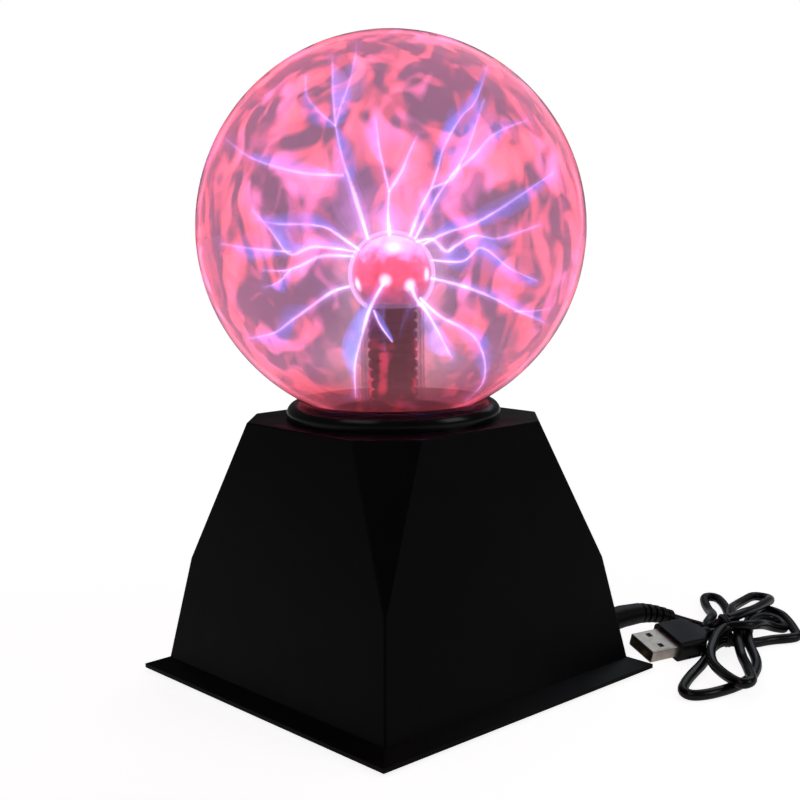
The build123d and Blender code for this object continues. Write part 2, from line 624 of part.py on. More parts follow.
with BuildPart() as switch_slider:
    with BuildSketch(switch_front.offset(-4.5)):
        Rectangle(2 * SLIDER_HALF, 4.4)
    extrude(amount=3.6)
    with BuildSketch(switch_front.offset(-0.9)):
        Rectangle(4.5, 3.8)
    extrude(amount=PAD_Y - PAD_BACK_Y + 4.0)
    knob_top = switch_front.offset(PAD_Y - PAD_BACK_Y + 3.1)
    with BuildSketch(knob_top):
        with GridLocations(1.2, 0, 3, 1):
            Rectangle(0.5, 3.8)
    extrude(amount=-0.5, mode=Mode.SUBTRACT)
save(switch_slider.part, "switch_slider")

switch_screw = pan_screw(1.9, 1.1, 0.95, 7.0)
with BuildPart() as switch_screws:
    for side in (-1, 1):
        with Locations(Location((SWITCH_X + side * SWITCH_SCREW_OFF, PAD_Y, SWITCH_Z), (-90, 0, 0))):
            add(switch_screw)
save(switch_screws.part, "switch_screws")

# ---- inner wires ---------------------------------------------------------------------------------
INNER_WIRE_R = 0.6


def inner_wire(start, points, bend):
    """Round wire that leaves its start along -Y and follows the points down to the board."""
    with BuildPart() as wire:
        with BuildLine():
            FilletPolyline(start, *points, radius=bend)
        with BuildSketch(Plane(origin=start, z_dir=(0, -1, 0))):
            Circle(INNER_WIRE_R)
        sweep()
    return wire.part


jack_back_y = PAD_BACK_Y - JACK_DEEP
with BuildPart() as jack_wires:
    for offset in (-2.0, 2.0):
        leave = Vector(JACK_X + offset, jack_back_y, 12.5)
        arrive = leave + Vector(-14, -14, 6.5)
        add(inner_wire(leave, [leave + Vector(0, -6, 0), leave + Vector(-7, -10, 6.5), arrive,
                               Vector(arrive.X, arrive.Y, BOARD_TOP)], 1.6))
save(jack_wires.part, "jack_wires")

switch_back_y = PAD_BACK_Y - SWITCH_DEEP
with BuildPart() as switch_wires:
    for offset in (-5.0, 0.0, 5.0):
        leave = Vector(SWITCH_X + offset, switch_back_y, 15.0)
        arrive = leave + Vector(0, -20, 5)
        add(inner_wire(leave, [leave + Vector(0, -8, 0), leave + Vector(0, -14, 5), arrive,
                               Vector(arrive.X, arrive.Y, BOARD_TOP)], 1.8))
save(switch_wires.part, "switch_wires")

# ---- barrel plug with drooping strain relief -----------------------------------------------------
tail_radius = TAIL_LENGTH / radians(TAIL_BEND)
tail_side = Vector(0.68, 0, -0.74).normalized()      # the strain relief sags down and to one side
tail_start = Vector(JACK_X, TAIL_START_Y, JACK_Z)


def tail_point(along):
    turned = along / tail_radius
    out, down = tail_radius * sin(turned), tail_radius * (1 - cos(turned))
    return tail_start + Vector(0, 1, 0) * out + tail_side * down


def tail_plane(along):
    turned = along / tail_radius
    heading = Vector(0, 1, 0) * cos(turned) + tail_side * sin(turned)
    return Plane(origin=tail_point(along), x_dir=Vector(0, 1, 0).cross(tail_side), z_dir=heading)


BARREL_LONG = 9.6
with BuildPart() as plug_barrel:
    with BuildSketch(jack_plane(PLUG_FRONT_Y)):
        Circle(BARREL_R)
        Circle(BARREL_BORE_R, mode=Mode.SUBTRACT)
    extrude(amount=-BARREL_LONG)
    chamfer(plug_barrel.edges().group_by(Axis.Y)[0].sort_by(SortBy.RADIUS)[-1], 0.4)
save(plug_barrel.part, "plug_barrel")

SMOOTH_TAIL = 9.0
RIB_PITCH, RIB_WIDE, RIB_COUNT = 3.2, 1.9, 5
TAIL_CORE_R = 2.5
with BuildPart() as plug_overmold:
    with BuildSketch(jack_plane(PLUG_FRONT_Y)):
        Circle(PLUG_GRIP_R)
    extrude(amount=TAIL_START_Y - PLUG_FRONT_Y)
    chamfer(plug_overmold.edges().sort_by(Axis.Y)[0], 0.8)
    for along, radius in ((0.0, PLUG_GRIP_R), (SMOOTH_TAIL, PLUG_GRIP_R - 0.3)):
        with BuildSketch(tail_plane(along)):
            Circle(radius)
    loft(ruled=True)
    with BuildLine():
        ThreePointArc(tail_point(0), tail_point(TAIL_LENGTH / 2), tail_point(TAIL_LENGTH))
    with BuildSketch(tail_plane(0)):
        Circle(TAIL_CORE_R)
    sweep()
    for i in range(RIB_COUNT):
        with BuildSketch(tail_plane(SMOOTH_TAIL + 0.8 + i * RIB_PITCH)):
            Circle(PLUG_GRIP_R - 0.4 - 0.2 * i)
        extrude(amount=RIB_WIDE)
save(plug_overmold.part, "plug_overmold")

# ---- cable: free lead, tied hank, tie ------------------------------------------------------------
hank_turn = radians(HANK_TURN)
hank_plane = Plane(origin=(TIE_X, TIE_Y, 0), x_dir=(cos(hank_turn), sin(hank_turn), 0), z_dir=(0, 0, 1))
# the free lead goes on straight out of the strain relief, then turns into the hank, whose frame has
# x across it, y along it and z up
tail_end = tail_point(TAIL_LENGTH)
lead_points = [tail_end, tail_end + tail_plane(TAIL_LENGTH).z_dir * LEAD_RUN,
               hank_plane.from_local_coords(Vector(LEAD_END))]
for point in lead_points:
    local = hank_plane.to_local_coords(point)
    print("lead point in the hank's frame", round(local.X, 1), round(local.Y, 1), round(local.Z, 1))


def corner_radii(points):
    """Radius for each corner: 0.45 of the shorter run beside it over the tangent of half its turn."""
    radii = []
    for before, corner, after in zip(points, points[1:], points[2:]):
        run_in, run_out = corner - before, after - corner
        half_turn = radians(run_in.get_angle(run_out) / 2)
        radii.append(0.45 * min(run_in.length, run_out.length) / tan(half_turn))
    return radii


lead_radii = corner_radii(lead_points)
print("cord_lead corner radii:", [round(r, 1) for r in lead_radii])
with BuildPart() as cord_lead:
    with BuildLine() as lead_path:
        FilletPolyline(*lead_points, radius=lead_radii)
    with BuildSketch(Plane(origin=lead_points[0], z_dir=lead_points[1] - lead_points[0])):
        Circle(CORD_R)
    sweep()
lead_length = sum(edge.length for edge in lead_path.edges())
print("cord_lead length", round(lead_length, 2), "volume over section",
      round(cord_lead.part.volume / (pi * CORD_R**2), 2))
save(cord_lead.part, "cord_lead")

far_lobe = [(-7.0, 1.0), (-6.6, 10.5), (-3.6, 18.6), (0.2, 26.0), (1.2, 36.0), (2.0, 47.0), (3.6, 57.0),
            (7.0, 59.0), (11.8, 57.8), (13.4, 50.0), (13.8, 41.5), (17.6, 48.5), (24.0, 57.2), (29.0, 57.4),
            (32.0, 52.6), (31.8, 40.0), (31.4, 20.0), (30.6, 9.0), (28.8, 1.4), (23.6, -0.6), (16.0, -1.8)]
near_lobe = [(9.6, -6.6), (8.2, -12.0), (7.4, -20.0), (5.0, -30.6), (0.0, -40.6), (-2.6, -52.0),
             (-7.0, -55.8), (-13.0, -52.6), (-19.4, -54.8), (-25.4, -55.2), (-28.3, -50.0),
             (-25.6, -41.2), (-20.6, -31.4), (-13.6, -19.6), (-9.4, -11.0)]
usb_face = [(-5.6, -5.5), (-7.3, -2.4)]  # where the USB plug's strain relief meets the hank


def across_hank(across):
    """Plane that far across the hank: its x runs along the hank and its y up."""
    return Plane(origin=hank_plane.from_local_coords(Vector(across, 0, 0)), x_dir=hank_plane.y_dir,
                 z_dir=hank_plane.x_dir)


waist_deep, waist_tall = WAIST_FAR - WAIST_NEAR, WAIST_HIGH - WAIST_LOW
waist_middle = ((WAIST_NEAR + WAIST_FAR) / 2, (WAIST_LOW + WAIST_HIGH) / 2)
ridge_foot, ridge_edge = 4.0, HANK_HEIGHT - 1.0
with BuildPart() as cord_hank:
    with BuildSketch(hank_plane):
        with BuildLine():
            Polyline(*far_lobe, *near_lobe, *usb_face, close=True)
        make_face()
    extrude(amount=HANK_HEIGHT)
    fillet(cord_hank.edges().group_by(Axis.Z)[-1], 1.4)
    with BuildSketch(across_hank(RIDGE_LEFT)):
        with BuildLine():
            Polyline((RIDGE_NEAR, ridge_foot), (RIDGE_NEAR, ridge_edge), (RIDGE_TOP_NEAR, WAIST_HIGH),
                     (RIDGE_TOP_FAR, WAIST_HIGH), (RIDGE_FAR, ridge_edge), (RIDGE_FAR, ridge_foot),
                     close=True)
        make_face()
    extrude(amount=RIDGE_RIGHT - RIDGE_LEFT)
    with BuildSketch(across_hank(-TIE_HALF_WIDTH)):
        with Locations(waist_middle):
            Rectangle(waist_deep + 2 * TIE_SLOT, waist_tall + 2 * (WAIST_LOW + TIE_SLOT))
            Rectangle(waist_deep, waist_tall, mode=Mode.SUBTRACT)
    extrude(amount=2 * TIE_HALF_WIDTH, mode=Mode.SUBTRACT)
save(cord_hank.part, "cord_hank")

with BuildPart() as twist_tie:
    with BuildSketch(across_hank(-TIE_HALF_WIDTH)):
        with Locations(waist_middle):
            Rectangle(waist_deep + 2 * TIE_THICK, waist_tall + 2 * TIE_THICK)
            Rectangle(waist_deep, waist_tall, mode=Mode.SUBTRACT)
    extrude(amount=2 * TIE_HALF_WIDTH)
save(twist_tie.part, "twist_tie")

# ---- USB plug ------------------------------------------------------------------------------------
grip_wide, grip_thick, grip_long = USB_GRIP
shell_wide, shell_thick, shell_long = USB_SHELL
lean = radians(USB_LEAN)
# height of the plug's axis when its rolled grip touches the table with one rounded edge
usb_axis_z = ((grip_wide / 2 - USB_GRIP_EDGE) * sin(lean) + (grip_thick / 2 - USB_GRIP_EDGE) * cos(lean)
              + USB_GRIP_EDGE + 0.05)
usb_heading = Vector(cos(radians(USB_HEADING)), sin(radians(USB_HEADING)), 0)
usb_across = Vector(usb_heading.Y, -usb_heading.X, 0) * cos(lean) - Vector(0, 0, 1) * sin(lean)
usb_plane = Plane(origin=(USB_X, USB_Y, usb_axis_z), x_dir=usb_across, z_dir=usb_heading)
print("usb axis height", round(usb_axis_z, 2), "up side of the plug is", usb_plane.y_dir)

neck_at = grip_long + 4.5
with BuildPart() as usb_overmold:
    with BuildSketch(usb_plane):
        RectangleRounded(grip_wide, grip_thick, USB_GRIP_EDGE)
    extrude(amount=grip_long)
    for along, wide, thick in ((grip_long, grip_wide - 0.6, grip_thick - 0.6), (neck_at, 7.4, 5.8)):
        with BuildSketch(usb_plane.offset(along)):
            RectangleRounded(wide, thick, 1.8)
    loft(ruled=True)
    with BuildSketch(usb_plane.offset(neck_at)):
        Circle(2.6)
    extrude(amount=USB_LENGTH - neck_at)
    for side in (-1, 1):
        with BuildSketch(usb_plane.offset(3.0)):
            with Locations((side * grip_wide / 2, 0)):
                Rectangle(0.8, grip_thick - 3.0)
        extrude(amount=6.0, mode=Mode.SUBTRACT)
save(usb_overmold.part, "usb_overmold")

SHEET = 0.35
with BuildPart() as usb_shell:
    with BuildSketch(usb_plane):
        RectangleRounded(shell_wide, shell_thick, 0.6)
        RectangleRounded(shell_wide - 2 * SHEET, shell_thick - 2 * SHEET, 0.3, mode=Mode.SUBTRACT)
    extrude(amount=-shell_long)
    # two square latch holes through the broad faces
    latch = Plane(origin=usb_plane.origin - usb_heading * (shell_long - 5.5), x_dir=usb_across,
                  z_dir=usb_plane.y_dir)
    with BuildSketch(latch):
        with Locations((-3.2, 0), (3.2, 0)):
            Rectangle(2.1, 2.1)
    extrude(amount=shell_thick, both=True, mode=Mode.SUBTRACT)
save(usb_shell.part, "usb_shell")

tongue_thick = 1.9
tongue_wide = shell_wide - 2 * SHEET - 0.2
CONTACT_COUNT, CONTACT_PITCH = 4, 2.5
up_side = 1 if usb_plane.y_dir.Z > 0 else -1
tongue_middle = up_side * (shell_thick / 2 - SHEET - 0.05 - tongue_thick / 2)
with BuildPart() as usb_tongue:
    with BuildSketch(usb_plane):
        with Locations((0, tongue_middle)):
            Rectangle(tongue_wide, tongue_thick)
    extrude(amount=-(shell_long - 0.8))
    with BuildSketch(usb_plane):
        with Locations((0, tongue_middle - up_side * (tongue_thick / 2 - 0.2))):
            with GridLocations(CONTACT_PITCH, 0, CONTACT_COUNT, 1):
                Rectangle(1.2, 0.4)
    extrude(amount=-(shell_long - 2.0), mode=Mode.SUBTRACT)
save(usb_tongue.part, "usb_tongue")

with BuildPart() as usb_contacts:
    with BuildSketch(usb_plane):
        with Locations((0, tongue_middle - up_side * (tongue_thick / 2 - 0.2))):
            with GridLocations(CONTACT_PITCH, 0, CONTACT_COUNT, 1):
                Rectangle(1.1, 0.4)
    extrude(amount=-(shell_long - 2.2))
save(usb_contacts.part, "usb_contacts")
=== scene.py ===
import math
import random

import bpy
from mathutils import Matrix, Vector


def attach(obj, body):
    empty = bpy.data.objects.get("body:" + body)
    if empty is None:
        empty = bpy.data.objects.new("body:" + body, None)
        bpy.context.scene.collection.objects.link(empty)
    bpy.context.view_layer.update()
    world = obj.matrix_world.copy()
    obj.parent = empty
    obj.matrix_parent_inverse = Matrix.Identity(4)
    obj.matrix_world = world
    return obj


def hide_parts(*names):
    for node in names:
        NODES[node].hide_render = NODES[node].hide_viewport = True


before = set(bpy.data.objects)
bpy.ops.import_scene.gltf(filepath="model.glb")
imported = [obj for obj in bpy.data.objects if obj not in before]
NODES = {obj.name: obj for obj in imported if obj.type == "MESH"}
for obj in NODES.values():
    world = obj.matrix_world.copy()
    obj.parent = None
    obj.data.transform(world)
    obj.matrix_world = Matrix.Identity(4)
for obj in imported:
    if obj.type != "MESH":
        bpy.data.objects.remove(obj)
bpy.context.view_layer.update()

MM = 0.001
UP = Vector((0, 0, 1))


# ---------------------------------------------------------------- camera

# Fitted to the globe's outline and the base's corners in the photograph.
VIEW_AZIMUTH = math.radians(47.69)  # from -Y towards +X, as the photograph sees the object
VIEW_PITCH = math.radians(7.64)
VIEW_YAW = math.radians(0.29)
VIEW_ROLL = math.radians(-0.74)
EYE = Vector((0.3159, -0.2875, 0.1509))
SENSOR = 36  # mm, as is the focal length
FOCAL = 58.13

turn = Matrix.Rotation(VIEW_AZIMUTH, 3, "Z")
ahead = turn @ Vector((
    math.sin(VIEW_YAW) * math.cos(VIEW_PITCH),
    math.cos(VIEW_YAW) * math.cos(VIEW_PITCH),
    -math.sin(VIEW_PITCH),
))
level = turn @ Vector((math.cos(VIEW_YAW), -math.sin(VIEW_YAW), 0))
above = level.cross(ahead)
eye_x = math.cos(VIEW_ROLL) * level + math.sin(VIEW_ROLL) * above
eye_y = -math.sin(VIEW_ROLL) * level + math.cos(VIEW_ROLL) * above
eye_axes = Matrix((eye_x, eye_y, -ahead)).transposed().to_4x4()

lens = bpy.data.cameras.new("camera")
lens.sensor_width = SENSOR
lens.lens = FOCAL
lens.clip_start = 0.01
lens.clip_end = 20
camera = bpy.data.objects.new("camera", lens)
camera.matrix_world = Matrix.Translation(EYE) @ eye_axes
bpy.context.collection.objects.link(camera)
bpy.context.scene.camera = camera


# ---------------------------------------------------------------- cord

CORD_THICK = 3.5 * MM
HANK_AT = Vector((63.9, 101.4, 0)) * MM
HANK_TURN = math.radians(47.7)
# Control points in the hank's own frame, in mm: across, along and up from the tie.
CORD_ROUTE = (
    # from the plug's strain relief, into the tie
    (-16.4, 14.3, 6.3), (-9.5, 16.9, 3.4), (-3, 15.2, 1.9), (-4.2, 8, 2), (-2.8, 0.8, 2.9),
    (3.5, -0.3, 2.7), (9, 4.5, 2),
    # right-hand loop
    (12.5, 13.5, 1.75), (15, 24.5, 1.75), (19.8, 33.5, 1.75), (25.6, 38.5, 1.75), (29.8, 31, 1.75),
    (29.6, 21, 1.75), (28.6, 11, 1.75), (27.6, 3.4, 1.75), (23.4, 1.8, 1.75), (16, 0.4, 1.75),
    (9.5, -3.8, 2), (3.5, -5, 2.9), (-1.8, -4.4, 3.3), (-6.8, -9, 2.6), (-10.3, -16.5, 1.8),
    # large near loop
    (-14, -24.5, 1.75), (-18.8, -32.5, 1.75), (-23.6, -41.5, 1.75), (-26.6, -49.5, 1.75),
    (-24.6, -53.8, 1.75), (-19.2, -52.8, 1.75), (-13.5, -49.7, 1.75), (-8, -45.8, 1.75),
    (-1.6, -39.3, 1.75), (3.5, -29, 1.75), (5.8, -19.5, 1.9), (5.8, -11.5, 3.6), (6.9, -4, 5.6),
    (9.3, 4, 5.6),
    # inner right-hand loop
    (12.3, 12, 5.4), (17.5, 18.5, 4.9), (22.5, 21.5, 3.4), (26.2, 19.5, 2), (25.8, 13, 1.8),
    (21.8, 10.5, 2.9), (17.2, 8.3, 4.8), (13.2, 1.8, 7.2), (9, -3.6, 8.8), (4, -5, 9), (-1, -4, 8.3),
    (-5.8, -10, 7), (-9, -17.5, 5.9), (-11.3, -24, 5.4),
    # small near loop
    (-12.2, -31, 4.4), (-11.4, -39, 4.3), (-10.6, -47, 5), (-8.6, -54, 5.3), (-4, -51, 5.3),
    (-2.6, -41, 5), (-0.6, -30, 3.6), (0.8, -20, 2.6), (1.7, -11, 5), (4, -3, 5.8), (5.4, 5, 5.8),
    # far right loop
    (6.6, 15, 6.3), (8.6, 25.5, 5.8), (13.2, 35.5, 4.2), (19.5, 46, 3), (25.6, 56, 1.9),
    (30.2, 53, 1.9), (29.6, 44, 3.6), (24.6, 34.5, 5.3), (16.2, 20.5, 6.9), (10, 11.3, 8.8),
    (4.5, 5.2, 9), (-0.8, 2.6, 8.2), (-4.6, 3, 5.4), (-4.8, 9, 4.9), (-0.8, 17, 5.2),
    # far left loop, and back to the USB plug
    (2.4, 26.5, 3.4), (3.2, 36, 1.75), (4, 47, 1.75), (6, 56, 1.75), (10.8, 55, 1.75),
    (11.2, 46, 1.75), (10.4, 37, 1.75), (8.6, 28, 2), (6, 20, 3.6), (3.2, 11, 5), (0.6, 4.8, 4.9),
    (-3, -0.8, 5.1), (-7.2, -2.7, 5.5),
)


def hank_point(across, along, up):
    return HANK_AT + Matrix.Rotation(HANK_TURN, 3, "Z") @ Vector((across, along, up)) * MM


def curve_of(name, points, radius):
    data = bpy.data.curves.new(name, "CURVE")
    data.dimensions = "3D"
    data.bevel_depth = 1.0  # times each point's radius, which a curve's box also counts
    data.bevel_resolution = 5
    data.resolution_u = 6
    data.use_fill_caps = True
    spline = data.splines.new("NURBS")
    spline.points.add(len(points) - 1)
    for p, at in zip(spline.points, points):
        p.co = (*at, 1)
        p.radius = radius
    spline.order_u = 3
    spline.use_endpoint_u = True
    made = bpy.data.objects.new(name, data)
    bpy.context.collection.objects.link(made)
    return made


cable = curve_of("cable", [hank_point(*p) for p in CORD_ROUTE], CORD_THICK / 2)
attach(cable, "plug_cable")
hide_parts("cord_lead", "cord_hank")


# ---------------------------------------------------------------- nodes and materials

NOISE_LOW, NOISE_HIGH = 0.3, 0.7  # a noise's usual range
ROUGH_DRIFT = 0.12
GLASS_ROUGH = 0.03


def put(nodes, kind, links=None, **values):
    """A new node of that kind. links maps an input's name or number to a socket or a value."""
    made = nodes.nodes.new(kind)
    for name, value in values.items():
        setattr(made, name, value)
    for name, value in (links or {}).items():
        if isinstance(value, bpy.types.NodeSocket):
            nodes.links.new(value, made.inputs[name])
        else:
            made.inputs[name].default_value = value
    return made


def blank(name):
    """A material with nothing in it: itself, its nodes, its output node and the object coordinates."""
    made = bpy.data.materials.new(name)
    made.use_nodes = True
    nodes = made.node_tree
    nodes.nodes.clear()
    out = put(nodes, "ShaderNodeOutputMaterial")
    at = put(nodes, "ShaderNodeTexCoord").outputs["Object"]
    return made, nodes, out, at


def noise(nodes, at, scale, detail=2.0, roughness=0.5):
    return put(nodes, "ShaderNodeTexNoise", {
        "Vector": at, "Scale": scale, "Detail": detail, "Roughness": roughness,
    }).outputs["Fac"]


def spread(nodes, value, low, high, to_low, to_high):
    """The value carried from the range low to high over to the range to_low to to_high."""
    return put(nodes, "ShaderNodeMapRange", {
        "Value": value, "From Min": low, "From Max": high, "To Min": to_low, "To Max": to_high,
    }).outputs["Result"]


def eased_step(nodes, value, low, high, how="SMOOTHSTEP"):
    """0 at low and 1 at high, with a soft start and end."""
    return put(nodes, "ShaderNodeMapRange", {
        "Value": value, "From Min": low, "From Max": high,
    }, interpolation_type=how).outputs["Result"]


def distance(nodes, a, b):
    return put(nodes, "ShaderNodeVectorMath", {0: a, 1: b}, operation="DISTANCE").outputs["Value"]


def height_of(nodes, at):
    return put(nodes, "ShaderNodeSeparateXYZ", {0: at}).outputs["Z"]


def mixed(nodes, share, first, second, **values):
    """A colour between two, each a socket or an (r, g, b)."""
    first, second = (c if isinstance(c, bpy.types.NodeSocket) else (*c, 1) for c in (first, second))
    return put(nodes, "ShaderNodeMix", {0: share, 6: first, 7: second}, data_type="RGBA", **values).outputs[2]


def ramp(nodes, value, stops):
    """A colour ramp through (place, colour) stops."""
    made = put(nodes, "ShaderNodeValToRGB", {"Fac": value})
    bar = made.color_ramp
    while len(bar.elements) < len(stops):
        bar.elements.new(1.0)
    for element, (place, colour) in zip(bar.elements, stops):
        element.position = place
        element.color = (*colour, 1)
    return made.outputs["Color"]


def maths(nodes, how, a, b, c=None):
    links = {0: a, 1: b}
    if c is not None:
        links[2] = c
    return put(nodes, "ShaderNodeMath", links, operation=how).outputs["Value"]


def vector_maths(nodes, how, links):
    return put(nodes, "ShaderNodeVectorMath", links, operation=how).outputs["Vector"]


def surface(name, colour, rough, mottle=0.25, mottle_scale=90.0, grain=1800.0, depth=0.03, metal=0.0,
            specular=0.5):
    """A moulded or metal surface, whose colour drifts by the share mottle and whose roughness drifts too.
    The mottle's and the grain's scales are noise scales, and the grain's depth is in mm."""
    made, nodes, out, at = blank(name)
    patches = noise(nodes, at, mottle_scale, 3.0)
    fine = noise(nodes, at, grain, 2.0, 0.6)
    tone = ramp(nodes, patches, (
        (NOISE_LOW, tuple(c * (1 - mottle) for c in colour)),
        (NOISE_HIGH, tuple(min(1, c * (1 + mottle)) for c in colour)),
    ))
    smoother, rougher = rough * (1 - ROUGH_DRIFT), min(1.0, rough * (1 + ROUGH_DRIFT))
    bump = put(nodes, "ShaderNodeBump", {"Height": fine, "Distance": depth * MM, "Strength": 1.0})
    shader = put(nodes, "ShaderNodeBsdfPrincipled", {
        "Base Color": tone,
        "Roughness": spread(nodes, patches, NOISE_LOW, NOISE_HIGH, smoother, rougher),
        "Normal": bump.outputs["Normal"],
    })
    shader.inputs["Metallic"].default_value = metal
    shader.inputs["Specular IOR Level"].default_value = specular
    nodes.links.new(shader.outputs[0], out.inputs["Surface"])
    return made


def added(nodes, *shaders):
    """The sum of shaders."""
    total = shaders[0]
    for s in shaders[1:]:
        total = put(nodes, "ShaderNodeAddShader", {0: total, 1: s}).outputs[0]
    return total


def quiet(made):
    """The same material, but left out of the sampling of lamps, which a dim glow isn't worth."""
    made.cycles.emission_sampling = "NONE"
    return made


def glass(name, tint, mirror_face=0.01, mirror_edge=0.5):
    """Thin clear glass: see-through, and mirroring more towards its edges."""
    made, nodes, out, at = blank(name)
    ripple = put(nodes, "ShaderNodeBump", {
        "Height": noise(nodes, at, 60.0, 1.0), "Distance": 0.15 * MM, "Strength": 0.3,
    })
    clear = put(nodes, "ShaderNodeBsdfTransparent")
    clear.inputs["Color"].default_value = (*tint, 1)
    shine = put(nodes, "ShaderNodeBsdfGlossy", {"Normal": ripple.outputs["Normal"]})
    shine.inputs["Roughness"].default_value = GLASS_ROUGH
    facing = put(nodes, "ShaderNodeLayerWeight", {"Blend": 0.5}).outputs["Facing"]
    mirror = maths(nodes, "MULTIPLY_ADD", maths(nodes, "POWER", facing, 5.0), mirror_edge, mirror_face)
    mix = put(nodes, "ShaderNodeMixShader", {0: mirror, 1: clear.outputs[0], 2: shine.outputs[0]})
    nodes.links.new(mix.outputs[0], out.inputs["Surface"])
    return made


# ---------------------------------------------------------------- materials of the CAD nodes

SURFACES = {
    "base_plastic": dict(colour=(0.0018, 0.0018, 0.002), rough=0.4, grain=2200.0, depth=0.02, specular=0.12),
    "collar_plastic": dict(colour=(0.003, 0.003, 0.0035), rough=0.2, grain=900.0, depth=0.006, specular=0.35),
    "inner_plastic": dict(colour=(0.02, 0.02, 0.021), rough=0.5),
    "gasket": dict(colour=(0.015, 0.014, 0.014), rough=0.75),
    "foot_rubber": dict(colour=(0.02, 0.02, 0.02), rough=0.85, grain=1200.0, depth=0.06),
    "wire": dict(colour=(0.35, 0.02, 0.015), rough=0.45),
    "screw_steel": dict(colour=(0.42, 0.42, 0.43), rough=0.35, metal=1.0, grain=3000.0, depth=0.01),
    "board": dict(colour=(0.02, 0.12, 0.05), rough=0.45, mottle=0.4, mottle_scale=400.0),
    "ferrite": dict(colour=(0.05, 0.05, 0.052), rough=0.6),
    "coil": dict(colour=(0.6, 0.4, 0.05), rough=0.4, grain=1500.0, depth=0.2),
    "transistor": dict(colour=(0.02, 0.02, 0.02), rough=0.5),
    "sink_metal": dict(colour=(0.5, 0.5, 0.52), rough=0.4, metal=1.0),
    "capacitor": dict(colour=(0.03, 0.05, 0.14), rough=0.3),
    "film_cap": dict(colour=(0.4, 0.06, 0.03), rough=0.3),
    "resistor": dict(colour=(0.6, 0.45, 0.28), rough=0.5),
    "chip": dict(colour=(0.015, 0.015, 0.016), rough=0.55),
    "mic_metal": dict(colour=(0.55, 0.55, 0.56), rough=0.35, metal=1.0),
    "jack_plastic": dict(colour=(0.012, 0.012, 0.012), rough=0.4),
    "nickel": dict(colour=(0.62, 0.6, 0.57), rough=0.22, metal=1.0, mottle=0.08, grain=2500.0, depth=0.004),
    "switch_plastic": dict(colour=(0.014, 0.014, 0.015), rough=0.38, grain=2000.0),
    "plug_rubber": dict(colour=(0.0045, 0.0045, 0.005), rough=0.42, grain=1500.0, depth=0.03, specular=0.3),
    "cord_rubber": dict(colour=(0.003, 0.003, 0.0036), rough=0.26, grain=500.0, depth=0.02, specular=0.42),
    "tie": dict(colour=(0.004, 0.004, 0.0045), rough=0.32, grain=900.0, depth=0.03, specular=0.4),
    "usb_steel": dict(colour=(0.86, 0.79, 0.69), rough=0.4, metal=1.0, mottle=0.2, mottle_scale=350.0,
                      grain=2600.0, depth=0.006),
    "usb_insulator": dict(colour=(0.03, 0.03, 0.032), rough=0.45),
    "gold": dict(colour=(0.9, 0.62, 0.22), rough=0.25, metal=1.0),
}
materials = {slot: surface(slot, **look) for slot, look in SURFACES.items()}
materials["globe_glass"] = glass("globe_glass", (0.97, 0.95, 0.97))
materials["stem_glass"] = glass("stem_glass", (0.95, 0.93, 0.95), 0.05, 1.0)


# ---------------------------------------------------------------- plasma

GLOBE = Vector((0, 0, 150)) * MM
GLASS_IN = 61.6  # mm from the globe's centre to where the filaments end
BULB = Vector((0, 0, 135.5)) * MM
ACROSS = turn @ Vector((1, 0, 0))  # to the right as the photograph sees it
TOWARDS = turn @ Vector((0, -1, 0))  # towards the viewer


def spot(across, up, towards=0.0):
    """A point from the globe's centre in mm, as the photograph sees it."""
    return GLOBE + (ACROSS * across + UP * up + TOWARDS * towards) * MM


# Distances from the bulb's centre: where a glow starts to dim and change colour, and where it stops.
GLOW_NEAR, GLOW_FAR, TONE_FAR = 16 * MM, 70 * MM, 65 * MM
FLICKER = 0.4


def glow_material(name, colour, strength, fade=0.35, end_colour=None, tint=(1, 1, 1)):
    """Light added to what shows through. It flickers, and dims and changes colour away from the electrode."""
    made, nodes, out, at = blank(name)
    clear = put(nodes, "ShaderNodeBsdfTransparent")
    clear.inputs["Color"].default_value = (*tint, 1)
    far = distance(nodes, at, tuple(BULB))
    flicker = spread(nodes, noise(nodes, at, 120.0, 2.0), NOISE_LOW, NOISE_HIGH,
                     strength * (1 - FLICKER), strength * (1 + FLICKER))
    dimmed = maths(nodes, "MULTIPLY", flicker, spread(nodes, far, GLOW_NEAR, GLOW_FAR, 1.0, fade))
    away = spread(nodes, far, GLOW_NEAR, TONE_FAR, 0.0, 1.0)
    tone = ramp(nodes, away, ((0.0, colour), (1.0, end_colour or colour)))
    light = put(nodes, "ShaderNodeEmission", {"Strength": dimmed, "Color": tone})
    nodes.links.new(added(nodes, clear.outputs[0], light.outputs[0]), out.inputs["Surface"])
    return quiet(made)


def haze_material(name, colour, strength, cut=None):
    """Glowing gas: clear faces, and a volume that gives light for each metre looked through. cut is the
    colour and density of what it takes away."""
    made, nodes, out, _ = blank(name)
    clear = put(nodes, "ShaderNodeBsdfTransparent")
    nodes.links.new(clear.outputs[0], out.inputs["Surface"])
    gas = put(nodes, "ShaderNodeEmission")
    gas.inputs["Color"].default_value = (*colour, 1)
    gas.inputs["Strength"].default_value = strength
    volume = gas.outputs[0]
    if cut is not None:
        dim = put(nodes, "ShaderNodeVolumeAbsorption")
        dim.inputs["Color"].default_value = (*cut[0], 1)
        dim.inputs["Density"].default_value = cut[1]
        volume = added(nodes, volume, dim.outputs[0])
    nodes.links.new(volume, out.inputs["Volume"])
    return quiet(made)


def mesh_object(name, verts, faces, material):
    """A smooth object of these faces, riding on the base."""
    data = bpy.data.meshes.new(name)
    data.from_pydata([tuple(v) for v in verts], [], faces)
    data.update()
    data.polygons.foreach_set("use_smooth", [True] * len(data.polygons))
    data.materials.append(material)
    made = bpy.data.objects.new(name, data)
    bpy.context.collection.objects.link(made)
    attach(made, "base")


